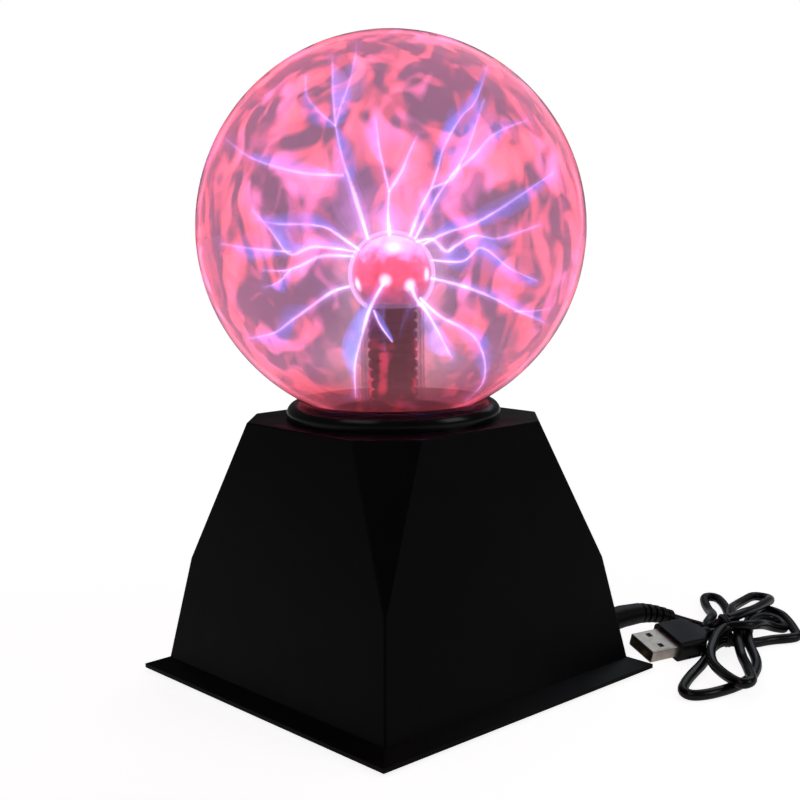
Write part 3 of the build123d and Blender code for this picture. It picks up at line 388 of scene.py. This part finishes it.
def lathe(profile, centre, steps, closed):
    """Vertices and faces of a profile of (radius, height) in mm, turned about the vertical through centre."""
    verts, faces = [], []
    for r, z in profile:
        for k in range(steps):
            a = 2 * math.pi * k / steps
            verts.append(centre + Vector((r * math.cos(a), r * math.sin(a), z)) * MM)
    rows = len(profile)
    for i in range(rows if closed else rows - 1):
        j = (i + 1) % rows
        for k in range(steps):
            m = (k + 1) % steps
            faces.append((i * steps + k, i * steps + m, j * steps + m, j * steps + k))
    return verts, faces


POLE = 0.02  # mm: the pin hole at a profile's pole


def cap_profile(r, lowest, rows):
    """A sphere's profile in mm from the height lowest up to almost its pole."""
    start = math.asin(lowest / r)
    angles = [start + (math.pi / 2 - start) * i / rows for i in range(rows)]
    return [(r * math.cos(a), r * math.sin(a)) for a in angles] + [(POLE, r)]


# Radii inside the glass, in mm: the patches, and the thin layer of glowing gas behind them. Both stop at the
# height of the neck.
PATCH_R = 63.42
EDGE_OUT, EDGE_IN = 63.3, 61.8
SHELL_FOOT = -59.0

# Where no patches glow in front of the bulb and the sleeve: across, up and towards the viewer from the
# globe's centre, and the radii that are wholly clear and wholly covered, in mm.
CLEARINGS = ((0, -40, 48, 12, 27), (0, -15, 60.5, 10, 22))

PATCH_LEVELS = (0.70, 0.90)  # the noise where a patch starts, and where it is full
PATCH_DRIFT = 0.03  # m: how far the noise that bends the patches can carry them either way, doubled
PATCH_HEIGHTS = (-55 * MM, -20 * MM)  # from the globe's centre, as are the foot's
PATCH_GLOW = (0.1, 0.74)  # at and below the first of those heights, and at and above the second
GAP_TINT, PATCH_TINT = (0.46, 0.38, 0.48), (0.76, 0.43, 0.5)
CLEARING_TINT = (0.64, 0.6, 0.64)
# Painted shade: a dark tint on the shell's foot, so the collar's inside seen through it looks shaded.
FOOT_PAINTED_SHADE_TINT = (0.3, 0.12, 0.14)
FOOT_PAINTED_SHADE_HEIGHTS = (-57 * MM, -47 * MM)  # the tint is full at the first and gone at the second


def shell_material():
    """The patches where the filaments wander over the glass, on smoky gaps, with a painted shade darkening
    the foot.
    """
    made, nodes, out, at = blank("plasma_patches")
    away = vector_maths(nodes, "SUBTRACT", {0: at, 1: tuple(GLOBE)})
    tall = put(nodes, "ShaderNodeMapping", {"Vector": away, "Scale": (1.25, 1.25, 0.6)}).outputs["Vector"]
    drift = put(nodes, "ShaderNodeTexNoise", {"Vector": away, "Scale": 45.0, "Detail": 1.0}).outputs["Color"]
    drift = vector_maths(nodes, "SUBTRACT", {0: drift, 1: (0.5, 0.5, 0.5)})
    drift = vector_maths(nodes, "SCALE", {0: drift, "Scale": PATCH_DRIFT})
    place = vector_maths(nodes, "ADD", {0: tall, 1: drift})
    blotch = noise(nodes, place, 92.0, 1.0, 0.4)
    wide = noise(nodes, away, 30.0, 2.0)
    patch = eased_step(nodes, maths(nodes, "MULTIPLY_ADD", wide, 0.5, blotch), *PATCH_LEVELS)
    colour = ramp(nodes, noise(nodes, away, 42.0, 2.0), (
        (0.36, (1.0, 0.06, 0.07)),
        (0.52, (1.0, 0.1, 0.17)),
        (0.66, (0.85, 0.18, 0.6)),
    ))
    height = height_of(nodes, away)
    covered = 1.0
    for across, up, towards, clear_r, full_r in CLEARINGS:
        far = distance(nodes, away, tuple(spot(across, up, towards) - GLOBE))
        covered = maths(nodes, "MULTIPLY", covered, eased_step(nodes, far, clear_r * MM, full_r * MM))
    strength = maths(nodes, "MULTIPLY", covered, spread(nodes, height, *PATCH_HEIGHTS, *PATCH_GLOW))
    light = put(nodes, "ShaderNodeEmission", {
        "Color": colour, "Strength": maths(nodes, "MULTIPLY", patch, strength),
    })
    tint = mixed(nodes, patch, GAP_TINT, PATCH_TINT)
    tint = mixed(nodes, covered, CLEARING_TINT, tint)
    # Painted shade: towards the bottom, the foot's dark tint darkens what shows through.
    tint = mixed(nodes, spread(nodes, height, *FOOT_PAINTED_SHADE_HEIGHTS, 1.0, 0.0), tint, FOOT_PAINTED_SHADE_TINT)
    clear = put(nodes, "ShaderNodeBsdfTransparent", {"Color": tint})
    nodes.links.new(added(nodes, clear.outputs[0], light.outputs[0]), out.inputs["Surface"])
    return quiet(made)


verts, faces = lathe(cap_profile(PATCH_R, SHELL_FOOT, 72), GLOBE, 144, False)
mesh_object("plasma_patches", verts, faces, shell_material())


def hollow(centre, outer, inner, foot, rows):
    """Vertices and faces of a ball's thin wall, open below the height foot."""
    profile = cap_profile(outer, foot, rows) + cap_profile(inner, foot, rows)[::-1]
    return lathe(profile, centre, 2 * rows, True)


def ball(centre, r, rows):
    """Vertices and faces of a ball, closed but for a pin hole at each pole."""
    return lathe([(POLE, -r)] + cap_profile(r, -r * 0.9995, rows), centre, 2 * rows, False)


verts, faces = hollow(GLOBE, EDGE_OUT, EDGE_IN, SHELL_FOOT, 60)
mesh_object("plasma_edge_haze", verts, faces, haze_material(
    "plasma_edge_haze", (1.0, 0.33, 0.4), 90.0, cut=((1.0, 0.5, 0.55), 16.0)))


# The glow round the bulb's upper half: how far its middle is above the bulb's and its radius, in mm, then its
# colour and strength.
for name, rise, r, colour, strength in (
    ("plasma_heart_haze", 9.0, 21.0, (0.88, 0.52, 1.0), 10.0),
    ("plasma_middle_haze", 17.0, 34.0, (0.6, 0.36, 1.0), 2.2),
):
    verts, faces = ball(BULB + UP * rise * MM, r, 36)
    mesh_object(name, verts, faces, haze_material(name, colour, strength))

RIM_OUT, RIM_IN = 14.45, 13.6  # mm
RIM_FOOT = -0.75 * RIM_OUT
verts, faces = hollow(BULB, RIM_OUT, RIM_IN, RIM_FOOT, 40)
mesh_object("electrode_rim_glow", verts, faces, haze_material("electrode_rim_glow", (0.9, 0.52, 1.0), 170.0))


def eased(points, per_span):
    """Points along a smooth line through these points."""
    line = []
    for i in range(len(points) - 1):
        a, b = points[max(i - 1, 0)], points[i]
        c, d = points[i + 1], points[min(i + 2, len(points) - 1)]
        bend, twist = 2 * a - 5 * b + 4 * c - d, 3 * b - a - 3 * c + d
        for k in range(per_span):
            t = k / per_span
            line.append(0.5 * ((2 * b) + (c - a) * t + bend * t * t + twist * t ** 3))
    return line + [points[-1]]


# Each filament: its width, how far towards the viewer its start is, where it ends, and its points across and
# up from the globe's centre, in mm. From -1 to 1 the end is on the glass, 1 on its near side and -1 on its
# far side, or a share of the way there. Any other number is the depth of an end inside, where it forks or
# fades.
FILAMENTS = (
    (1.0, 3, 14, ((-7.5, -3), (-11.5, 10.5), (-15, 22.5), (-17, 32.5))),
    (0.7, 14, 0.5, ((-17, 32.5), (-22, 37), (-25.5, 42), (-26, 48))),
    (0.6, 14, 1, ((-17, 32.5), (-17.4, 42), (-17, 51.5))),
    (0.7, 14, 0.3, ((-17, 32.5), (-15.5, 38), (-12.4, 48), (-10, 59))),
    (0.9, 5, -6, ((-0.5, -2), (-0.6, 5), (-0.5, 12.5))),
    (0.6, -6, -1, ((-0.5, 12.5), (-3, 27.5), (-5, 40.5))),
    (0.9, -6, -1, ((-0.5, 12.5), (3.8, 19), (6.3, 26), (9.7, 33.5))),
    (0.9, -3, 4, ((6.3, -2), (9.7, 7), (13.2, 13.2))),
    (0.6, 4, 0.4, ((13.2, 13.2), (14.5, 19), (17.5, 26.7), (23.3, 35), (27.6, 41), (31.8, 52))),
    (0.7, 4, 0.8, ((13.2, 13.2), (19, 16.5), (22.5, 21.6), (24.2, 26), (28.4, 38.6))),
    (0.7, 6, 0.9, ((19, 16.5), (26, 23), (33, 28.5), (42, 32.5))),
    (0.6, -6, 2, ((8, -3), (15.5, 11), (22.5, 20.7))),
    (0.7, -4, 1, ((10.6, -5), (19, -1.5), (26, 1.2), (32.7, 5.4), (41, 10.6), (49, 16.5))),
    (0.8, 4, -1, ((8, -4), (14, -4), (18, -7.8), (22.5, -5.6), (28.4, -3), (36, -3.9), (43.5, -1.4),
                  (52.3, 0.8))),
    (0.5, 4, 1, ((13, -10), (23, -10), (28.4, -6), (36, -12.4), (43.7, -15.8))),
    (0.8, 0, 1, ((13, -16), (24, -18.4), (32.7, -22.2), (38.6, -26), (48, -29.5))),
    (0.4, 20, 1, ((38.6, -26), (44, -26.3), (49, -24.8))),
    (0.8, 8, 1, ((9, -22), (15.7, -27.7), (23.3, -32), (27.6, -36.7), (30.1, -43), (29.3, -50),
                 (23.3, -56.5))),
    (0.5, 6, 1, ((9.7, -24), (14, -32), (17.5, -38))),
    (0.8, 6, 1, ((-15, 17.5), (-28.5, 18.7), (-42, 22.5), (-50.7, 28.4))),
    (0.7, -3, -1, ((-10.7, -6.5), (-16, -2.2), (-22, 1.2), (-32, 2), (-40.5, 2.9), (-48, 4.2))),
    (0.8, 3, 1, ((-11.6, -7), (-23.5, -5.6), (-32, -6.6), (-36.3, 0), (-40.5, 6.3))),
    (0.6, 12, 1, ((-32, -6.6), (-43, -4.8), (-51.5, -3.5))),
    (0.8, 2, -1, ((-12.4, -8.5), (-23.5, -9), (-32, -12.4), (-38, -14), (-46, -14))),
    (0.6, -10, -1, ((-34, -13), (-40, -17.5), (-45.6, -20))),
    (0.8, 0, 1, ((-14, -18.4), (-20, -20), (-26, -24.3), (-32, -28.6), (-38, -32), (-44.8, -33))),
    (0.8, 13.7, 1, ((-2.2, -16.2), (-7.0, -24.5), (-10.3, -33.7), (-11.6, -42), (-11.6, -51))),
    (0.8, 12.6, 9, ((6.2, -18), (8, -22.4), (10.6, -26))),
    (0.4, 11.5, 12, ((-6, -25.5), (-4, -31), (0, -36))),
)
PER_SPAN = 9
WOBBLE = 0.6  # mm
rng = random.Random(11)


def filament_line(front, side, flat):
    """The filament's points in space, from its start's depth to the glass or the depth where it ends."""
    across, up = flat[-1]
    left = GLASS_IN ** 2 - across ** 2 - up ** 2
    reach = side if abs(side) > 1 else side * math.sqrt(max(left, 0))
    runs = [0.0]
    for a, b in zip(flat, flat[1:]):
        runs.append(runs[-1] + math.dist(a, b))
    knots = []
    for (x, y), run in zip(flat, runs):
        share = run / runs[-1]
        knots.append(spot(x, y, front + (reach - front) * share ** 1.2))
    knots[1:-1] = [k + Vector([rng.uniform(-WOBBLE, WOBBLE) for _ in range(3)]) * MM for k in knots[1:-1]]
    return eased(knots, PER_SPAN)


def tube(line, radii, sides):
    """Vertices and faces of a tube round the line, with a radius in mm at each point."""
    verts, faces = [], []
    side = UP.cross(line[1] - line[0])
    for i, at in enumerate(line):
        way = (line[min(i + 1, len(line) - 1)] - line[max(i - 1, 0)]).normalized()
        side = (side - way * side.dot(way)).normalized()
        other = way.cross(side)
        for k in range(sides):
            a = 2 * math.pi * k / sides
            verts.append(at + (side * math.cos(a) + other * math.sin(a)) * radii[i] * MM)
    for i in range(len(line) - 1):
        for k in range(sides):
            m = (k + 1) % sides
            faces.append((i * sides + k, i * sides + m, (i + 1) * sides + m, (i + 1) * sides + k))
    faces.append(tuple(range(sides))[::-1])
    faces.append(tuple((len(line) - 1) * sides + k for k in range(sides)))
    return verts, faces


def joined(name, parts, material):
    """One object of several parts' vertices and faces."""
    verts, faces = [], []
    for more, rows in parts:
        start = len(verts)
        verts += more
        faces += [tuple(i + start for i in f) for f in rows]
    mesh_object(name, verts, faces, material)


lines = [(width, side, filament_line(front, side, flat)) for width, front, side, flat in FILAMENTS]


START_OPEN, OPENING = 0.45, 2.5  # how wide a filament is at its start, as a share, and how fast it opens up
START_THICK, THINNING = 1.35, 0.95
FLARE_FROM = 0.8  # the share of its length from which it flares


def taper(line, width, thick, flare):
    """Radii along a filament: full near its start, thinner on its way, and flared at the glass."""
    radii = []
    for i in range(len(line)):
        t = i / (len(line) - 1)
        own = width * thick * (START_THICK - THINNING * t) * min(1.0, START_OPEN + OPENING * t)
        radii.append(own + flare * max(0.0, (t - FLARE_FROM) / (1 - FLARE_FROM)) ** 2)
    return radii


# The layers of each filament: radius as a share of its width, flare at the glass in mm, sides of the tube,
# colours at its start and its end, and strength.
for name, thick, flare, sides, colour, end_colour, strength in (
    ("plasma_cores", 0.5, 0.0, 6, (1.0, 0.84, 1.0), (0.8, 0.5, 1.0), 0.7),
    ("plasma_sheaths", 1.1, 0.5, 10, (0.85, 0.55, 1.0), (0.6, 0.36, 1.0), 0.27),
    ("plasma_halos", 2.1, 1.4, 12, (0.62, 0.36, 1.0), (0.5, 0.3, 1.0), 0.17),
    ("plasma_outer_halos", 3.6, 3.0, 14, (0.5, 0.26, 1.0), (0.55, 0.22, 0.9), 0.055),
):
    parts = []
    for width, side, line in lines:
        on_glass = abs(side) <= 1
        parts.append(tube(line, taper(line, width, thick, flare if on_glass else 0.0), sides))
    joined(name, parts, glow_material(name, colour, strength, end_colour=end_colour))


# Flat ribbons and plumes that a filament leaves as it drifts: the filament's place in FILAMENTS, the shares
# of its length between which it has one, and how far it reaches across, up and towards the viewer, in mm.
BLUE_RIBBONS = (
    (0, 0.45, 1.0, (3.5, -1.5, 2)), (1, 0.0, 0.8, (-2.5, -2.5, -2)), (3, 0.0, 0.6, (2.5, -1, 3)),
    (5, 0.35, 1.0, (-3.5, 1.0, 0)), (9, 0.2, 0.95, (-3.0, 1.5, 3)), (8, 0.2, 1.0, (-3.5, -1, 0)),
    (10, 0.2, 0.8, (1.5, -3.0, 0)), (12, 0.4, 1.0, (1.5, -2.5, 3)), (12, 0.05, 0.5, (0, 3.0, -3)),
    (19, 0.1, 0.75, (0.5, 3.0, -3)), (20, 0.2, 1.0, (0.5, 3.2, 3)), (21, 0.3, 0.75, (-0.5, 3.5, 0)),
    (22, 0.1, 0.8, (0, -2.5, 2)), (14, 0.4, 1.0, (1.0, -3.5, 0)), (15, 0.6, 1.0, (1.0, 2.5, 0)),
    (17, 0.2, 0.6, (3.5, 0.5, 2)), (18, 0.1, 0.9, (3.5, -3.0, 0)), (25, 0.55, 0.95, (1.5, -3.5, 0)),
    (26, 0.2, 0.8, (-4.5, -0.5, -3)), (28, 0.0, 1.0, (1.2, 0.6, 0)), (24, 0.0, 0.8, (1.0, -3.0, 0)),
)
PINK_PLUMES = (
    (0, 0.0, 0.7, (-6.0, -2.0, -4)), (6, 0.1, 1.0, (5.5, -1.5, -2)), (3, 0.2, 0.9, (5.0, 0.5, -3)),
    (19, 0.0, 0.5, (-1.0, -6.0, -2)), (11, 0.3, 1.0, (4.0, -3.0, -3)), (13, 0.3, 0.9, (0.5, 4.5, -3)),
    (9, 0.5, 1.0, (4.5, 0.5, 0)), (2, 0.2, 0.9, (3.5, 0.5, -2)),
    (21, 0.05, 0.5, (0, 4.0, -2)), (17, 0.0, 0.5, (-3.0, -3.5, 2)),
)
RIBBON_LAYERS = 4
RIBBON_SPREAD = 1.35
SHORTEST_WITH_WISP = 18.0  # mm


def strip(line, first, last, reach, layer):
    """One layer of a ribbon beside part of a line. Layers differ in width, so its far edge is soft."""
    a, b = round(first * (len(line) - 1)), round(last * (len(line) - 1))
    way = ACROSS * reach[0] + UP * reach[1] + TOWARDS * reach[2]
    way = way * RIBBON_SPREAD * MM * layer / RIBBON_LAYERS
    verts, faces = [], []
    for i in range(a, b + 1):
        t = (i - a) / max(b - a, 1)
        wide = math.sin(math.pi * t) ** 0.7 if 0 < t < 1 else 0.0
        verts += [line[i], line[i] + way * wide * 0.5, line[i] + way * wide]
    for i in range(b - a):
        for k in (0, 1):
            faces.append((3 * i + k, 3 * i + k + 1, 3 * i + k + 4, 3 * i + k + 3))
    return verts, faces


def wisps(share):
    """Ribbons that start at random along most filaments and drift off to either side."""
    table = []
    for n, (_, _, line) in enumerate(lines):
        span = line[-1] - line[0]
        if rng.random() > share or span.length < SHORTEST_WITH_WISP * MM:
            continue
        off = span.normalized().cross(TOWARDS).normalized()
        off = off * rng.choice((-1, 1)) + TOWARDS * rng.uniform(-0.6, 0.6)
        off = off * rng.uniform(2.5, 5.0)
        reach = (off.dot(ACROSS), off.dot(UP), off.dot(TOWARDS))
        table.append((n, rng.uniform(0.05, 0.45), rng.uniform(0.75, 1.0), reach))
    return table


for name, table, colour, strength, tint in (
    ("plasma_blue_ribbons", BLUE_RIBBONS, (0.22, 0.27, 1.0), 0.42, (0.84, 0.93, 1.0)),
    ("plasma_blue_wisps", wisps(0.8) + wisps(0.5), (0.3, 0.3, 1.0), 0.26, (0.9, 0.96, 1.0)),
    ("plasma_pink_plumes", PINK_PLUMES + tuple(wisps(0.5)), (1.0, 0.45, 1.0), 0.16, (1, 1, 1)),
):
    parts = [strip(lines[n][2], first, last, reach, k + 1)
             for n, first, last, reach in table for k in range(RIBBON_LAYERS)]
    joined(name, parts, glow_material(name, colour, strength, fade=0.7, tint=tint))


# ---------------------------------------------------------------- electrode

# Where filaments leave the bulb: across, up and towards the viewer from its centre, and the glow's size.
# All are in mm.
HOT_SPOTS = (
    (0.8, 9.2, 9.0, 4.6), (-2.2, -1.6, 13.2, 3.4), (6.2, -3.4, 11.4, 3.4), (-9.0, 3.0, -8.0, 5.0),
    (8.0, -2.0, -9.0, 5.0), (0.0, 8.0, -9.0, 4.5), (-11.0, -3.0, 5.0, 3.5), (11.0, 0.0, 5.0, 3.5),
)
HOT = (1.6, 1.25, 1.6)
WOOL_GLOW = 1.9
WOOL_HEIGHTS = (126 * MM, 149 * MM)
# Heights and noise levels of the painted reflections of the discharge on the sleeve.
SLEEVE_PAINTED_REFLECTION_HEIGHTS = (84 * MM, 126 * MM)
SLEEVE_PAINTED_REFLECTION_LEVELS = (0.46, 0.64)


def wool_material():
    """Metal wool lit by the discharge: violet-white on top, deep red below."""
    made, nodes, out, at = blank("electrode_wool")
    tangle = noise(nodes, at, 230.0, 4.0, 0.65)
    level = spread(nodes, height_of(nodes, at), *WOOL_HEIGHTS, 0.0, 1.0)
    level = maths(nodes, "MULTIPLY_ADD", tangle, 0.55, level)
    glow = ramp(nodes, maths(nodes, "SUBTRACT", level, 0.27), (
        (0.05, (0.12, 0.0, 0.004)),
        (0.4, (0.75, 0.006, 0.012)),
        (0.6, (0.9, 0.03, 0.05)),
        (0.74, (1.0, 0.3, 0.7)),
        (0.95, (1.0, 0.8, 1.0)),
    ))
    for across, up, towards, size in HOT_SPOTS:
        leaves_at = BULB + (ACROSS * across + UP * up + TOWARDS * towards) * MM
        near = eased_step(nodes, distance(nodes, at, tuple(leaves_at)), size * MM, 0.0, "SMOOTHERSTEP")
        glow = mixed(nodes, near, glow, HOT, clamp_result=False)
    shader = put(nodes, "ShaderNodeBsdfPrincipled", {
        "Base Color": ramp(nodes, tangle, ((0.3, (0.1, 0.03, 0.03)), (0.7, (0.5, 0.2, 0.2)))),
        "Emission Color": glow,
    })
    shader.inputs["Roughness"].default_value = 0.6
    shader.inputs["Emission Strength"].default_value = WOOL_GLOW
    nodes.links.new(shader.outputs[0], out.inputs["Surface"])
    return quiet(made)


def sleeve_painted_reflection_material():
    """Near-black ribbed sleeve with painted reflections of the discharge, glowing as emission: red patches
    low down, violet near the top.
    """
    made, nodes, out, at = blank("sleeve")
    tall = put(nodes, "ShaderNodeMapping", {"Vector": at, "Scale": (1, 1, 0.45)}).outputs["Vector"]
    # Patches of painted reflection, stretched upright, and their colour by height.
    patch = eased_step(nodes, noise(nodes, tall, 150.0, 1.0), *SLEEVE_PAINTED_REFLECTION_LEVELS)
    shine = ramp(nodes, spread(nodes, height_of(nodes, at), *SLEEVE_PAINTED_REFLECTION_HEIGHTS, 0.0, 1.0), (
        (0.0, (0.25, 0.01, 0.02)),
        (0.3, (1.0, 0.05, 0.09)),
        (0.62, (0.9, 0.06, 0.14)),
        (0.75, (0.02, 0.01, 0.06)),
        (1.0, (0.05, 0.03, 0.3)),
    ))
    # The painted reflections glow as emission on the near-black sleeve.
    shader = put(nodes, "ShaderNodeBsdfPrincipled", {"Emission Color": shine, "Emission Strength": patch})
    shader.inputs["Base Color"].default_value = (0.004, 0.003, 0.005, 1)
    shader.inputs["Roughness"].default_value = 0.25
    nodes.links.new(shader.outputs[0], out.inputs["Surface"])
    return quiet(made)


materials["wool"] = wool_material()
materials["sleeve"] = sleeve_painted_reflection_material()


# ---------------------------------------------------------------- twist tie

TIE_WIRE = 0.5  # mm
TIE_TURNS, TIE_SPREAD = 2.4, 2.4  # windings, and how far they spread along the bundle in mm
TIE_MIDDLE = (-0.2, 5.7)  # mm: along and up in the hank's frame
TIE_HALF = (6.15, 5.1)  # mm: half the winding's extent, along and up
TIE_SQUARE = 2.6  # 2 winds on an ellipse, and more on a squarer one
TIE_START = -1.2  # radians
TIE_POINTS = 90


def tie_line():
    """Windings across the bundle of turns, pulled tight round it."""
    points = []
    for i in range(TIE_POINTS + 1):
        share = i / TIE_POINTS
        angle = 2 * math.pi * TIE_TURNS * share + TIE_START
        c, s = math.cos(angle), math.sin(angle)
        reach = (abs(c) ** TIE_SQUARE + abs(s) ** TIE_SQUARE) ** (-1 / TIE_SQUARE)
        along, up = TIE_MIDDLE[0] + TIE_HALF[0] * c * reach, TIE_MIDDLE[1] + TIE_HALF[1] * s * reach
        points.append(hank_point(TIE_SPREAD * (share - 0.5), along, up))
    return points


tie = curve_of("tie", tie_line(), TIE_WIRE * MM)
tie.data.materials.append(materials["tie"])
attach(tie, "plug_cable")
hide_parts("twist_tie")


# ---------------------------------------------------------------- materials on their pieces

cable.data.materials.append(materials["cord_rubber"])
for node in NODES.values():
    slot = node.data.materials[0].name.split(".")[0]
    node.data.materials[0] = materials[slot]


# ---------------------------------------------------------------- floor and light

FLOOR_HALF = 6.0  # m
FLOOR_FROM, FLOOR_TO = 0.15, 0.9  # m from the object, between which the floor turns as white as the backdrop
FLOOR_NEAR, FLOOR_FELT = 0.88, 0.2  # the floor's brightness near the object, and what of it lights the object

floor_data = bpy.data.meshes.new("floor")
corners = [(x * FLOOR_HALF, y * FLOOR_HALF, 0) for x, y in ((-1, -1), (1, -1), (1, 1), (-1, 1))]
floor_data.from_pydata(corners, [], [(0, 1, 2, 3)])
floor_mat, nodes, out, at = blank("floor")
paint = put(nodes, "ShaderNodeBsdfDiffuse")
paint.inputs["Color"].default_value = (0.8, 0.8, 0.8, 1)
shine = put(nodes, "ShaderNodeEmission")
shine.inputs["Color"].default_value = (1, 1, 1, 1)
near = put(nodes, "ShaderNodeVectorMath", {0: at}, operation="LENGTH").outputs["Value"]
pale = spread(nodes, near, FLOOR_FROM, FLOOR_TO, FLOOR_NEAR, 1.0)
looked_at = put(nodes, "ShaderNodeLightPath").outputs["Is Camera Ray"]
seen_or_felt = spread(nodes, looked_at, 0.0, 1.0, FLOOR_FELT, 1.0)
nodes.links.new(maths(nodes, "MULTIPLY", pale, seen_or_felt), shine.inputs["Strength"])
nodes.links.new(added(nodes, paint.outputs[0], shine.outputs[0]), out.inputs["Surface"])
floor_data.materials.append(floor_mat)
floor = bpy.data.objects.new("floor", floor_data)
bpy.context.collection.objects.link(floor)

BACKDROP_FELT = 0.06  # of the white backdrop's brightness, what lights the object

world = bpy.data.worlds.new("studio")
bpy.context.scene.world = world
world.use_nodes = True
nodes = world.node_tree
nodes.nodes.clear()
seen = put(nodes, "ShaderNodeBackground")
seen.inputs["Color"].default_value = (1, 1, 1, 1)
seen.inputs["Strength"].default_value = 1.0
felt = put(nodes, "ShaderNodeBackground")
felt.inputs["Color"].default_value = (0.9, 0.95, 1, 1)
felt.inputs["Strength"].default_value = BACKDROP_FELT
ray = put(nodes, "ShaderNodeLightPath")
mix = put(nodes, "ShaderNodeMixShader", {
    0: ray.outputs["Is Camera Ray"], 1: felt.outputs[0], 2: seen.outputs[0],
})
out = put(nodes, "ShaderNodeOutputWorld")
nodes.links.new(mix.outputs[0], out.inputs["Surface"])


def softbox(name, place, target, size, power, colour=(1, 1, 1)):
    """A lamp of that size in metres and power in watts, at a place and facing a target."""
    data = bpy.data.lights.new(name, "AREA")
    data.shape = "RECTANGLE"
    data.size, data.size_y = size
    data.energy = power
    data.color = colour
    made = bpy.data.objects.new(name, data)
    made.location = place
    made.rotation_euler = (Vector(target) - Vector(place)).to_track_quat("-Z", "Y").to_euler()
    bpy.context.collection.objects.link(made)


softbox("key", (0.1, -1.1, 1.0), (0, 0, 0.08), (0.8, 0.6), 1.1)
softbox("side", (1.2, 0.6, 0.7), (0, 0, 0.08), (0.6, 0.6), 1.4)
softbox("back", (-0.25, 0.95, 0.82), (0.055, 0.08, 0), (0.9, 0.9), 1.4, (0.85, 0.9, 1.0))

scene = bpy.context.scene
scene.view_settings.view_transform = "Standard"
scene.view_settings.look = "None"
scene.cycles.transparent_max_bounces = 64  # a line of sight can cross dozens of halo and ribbon faces
scene.cycles.use_denoising = True
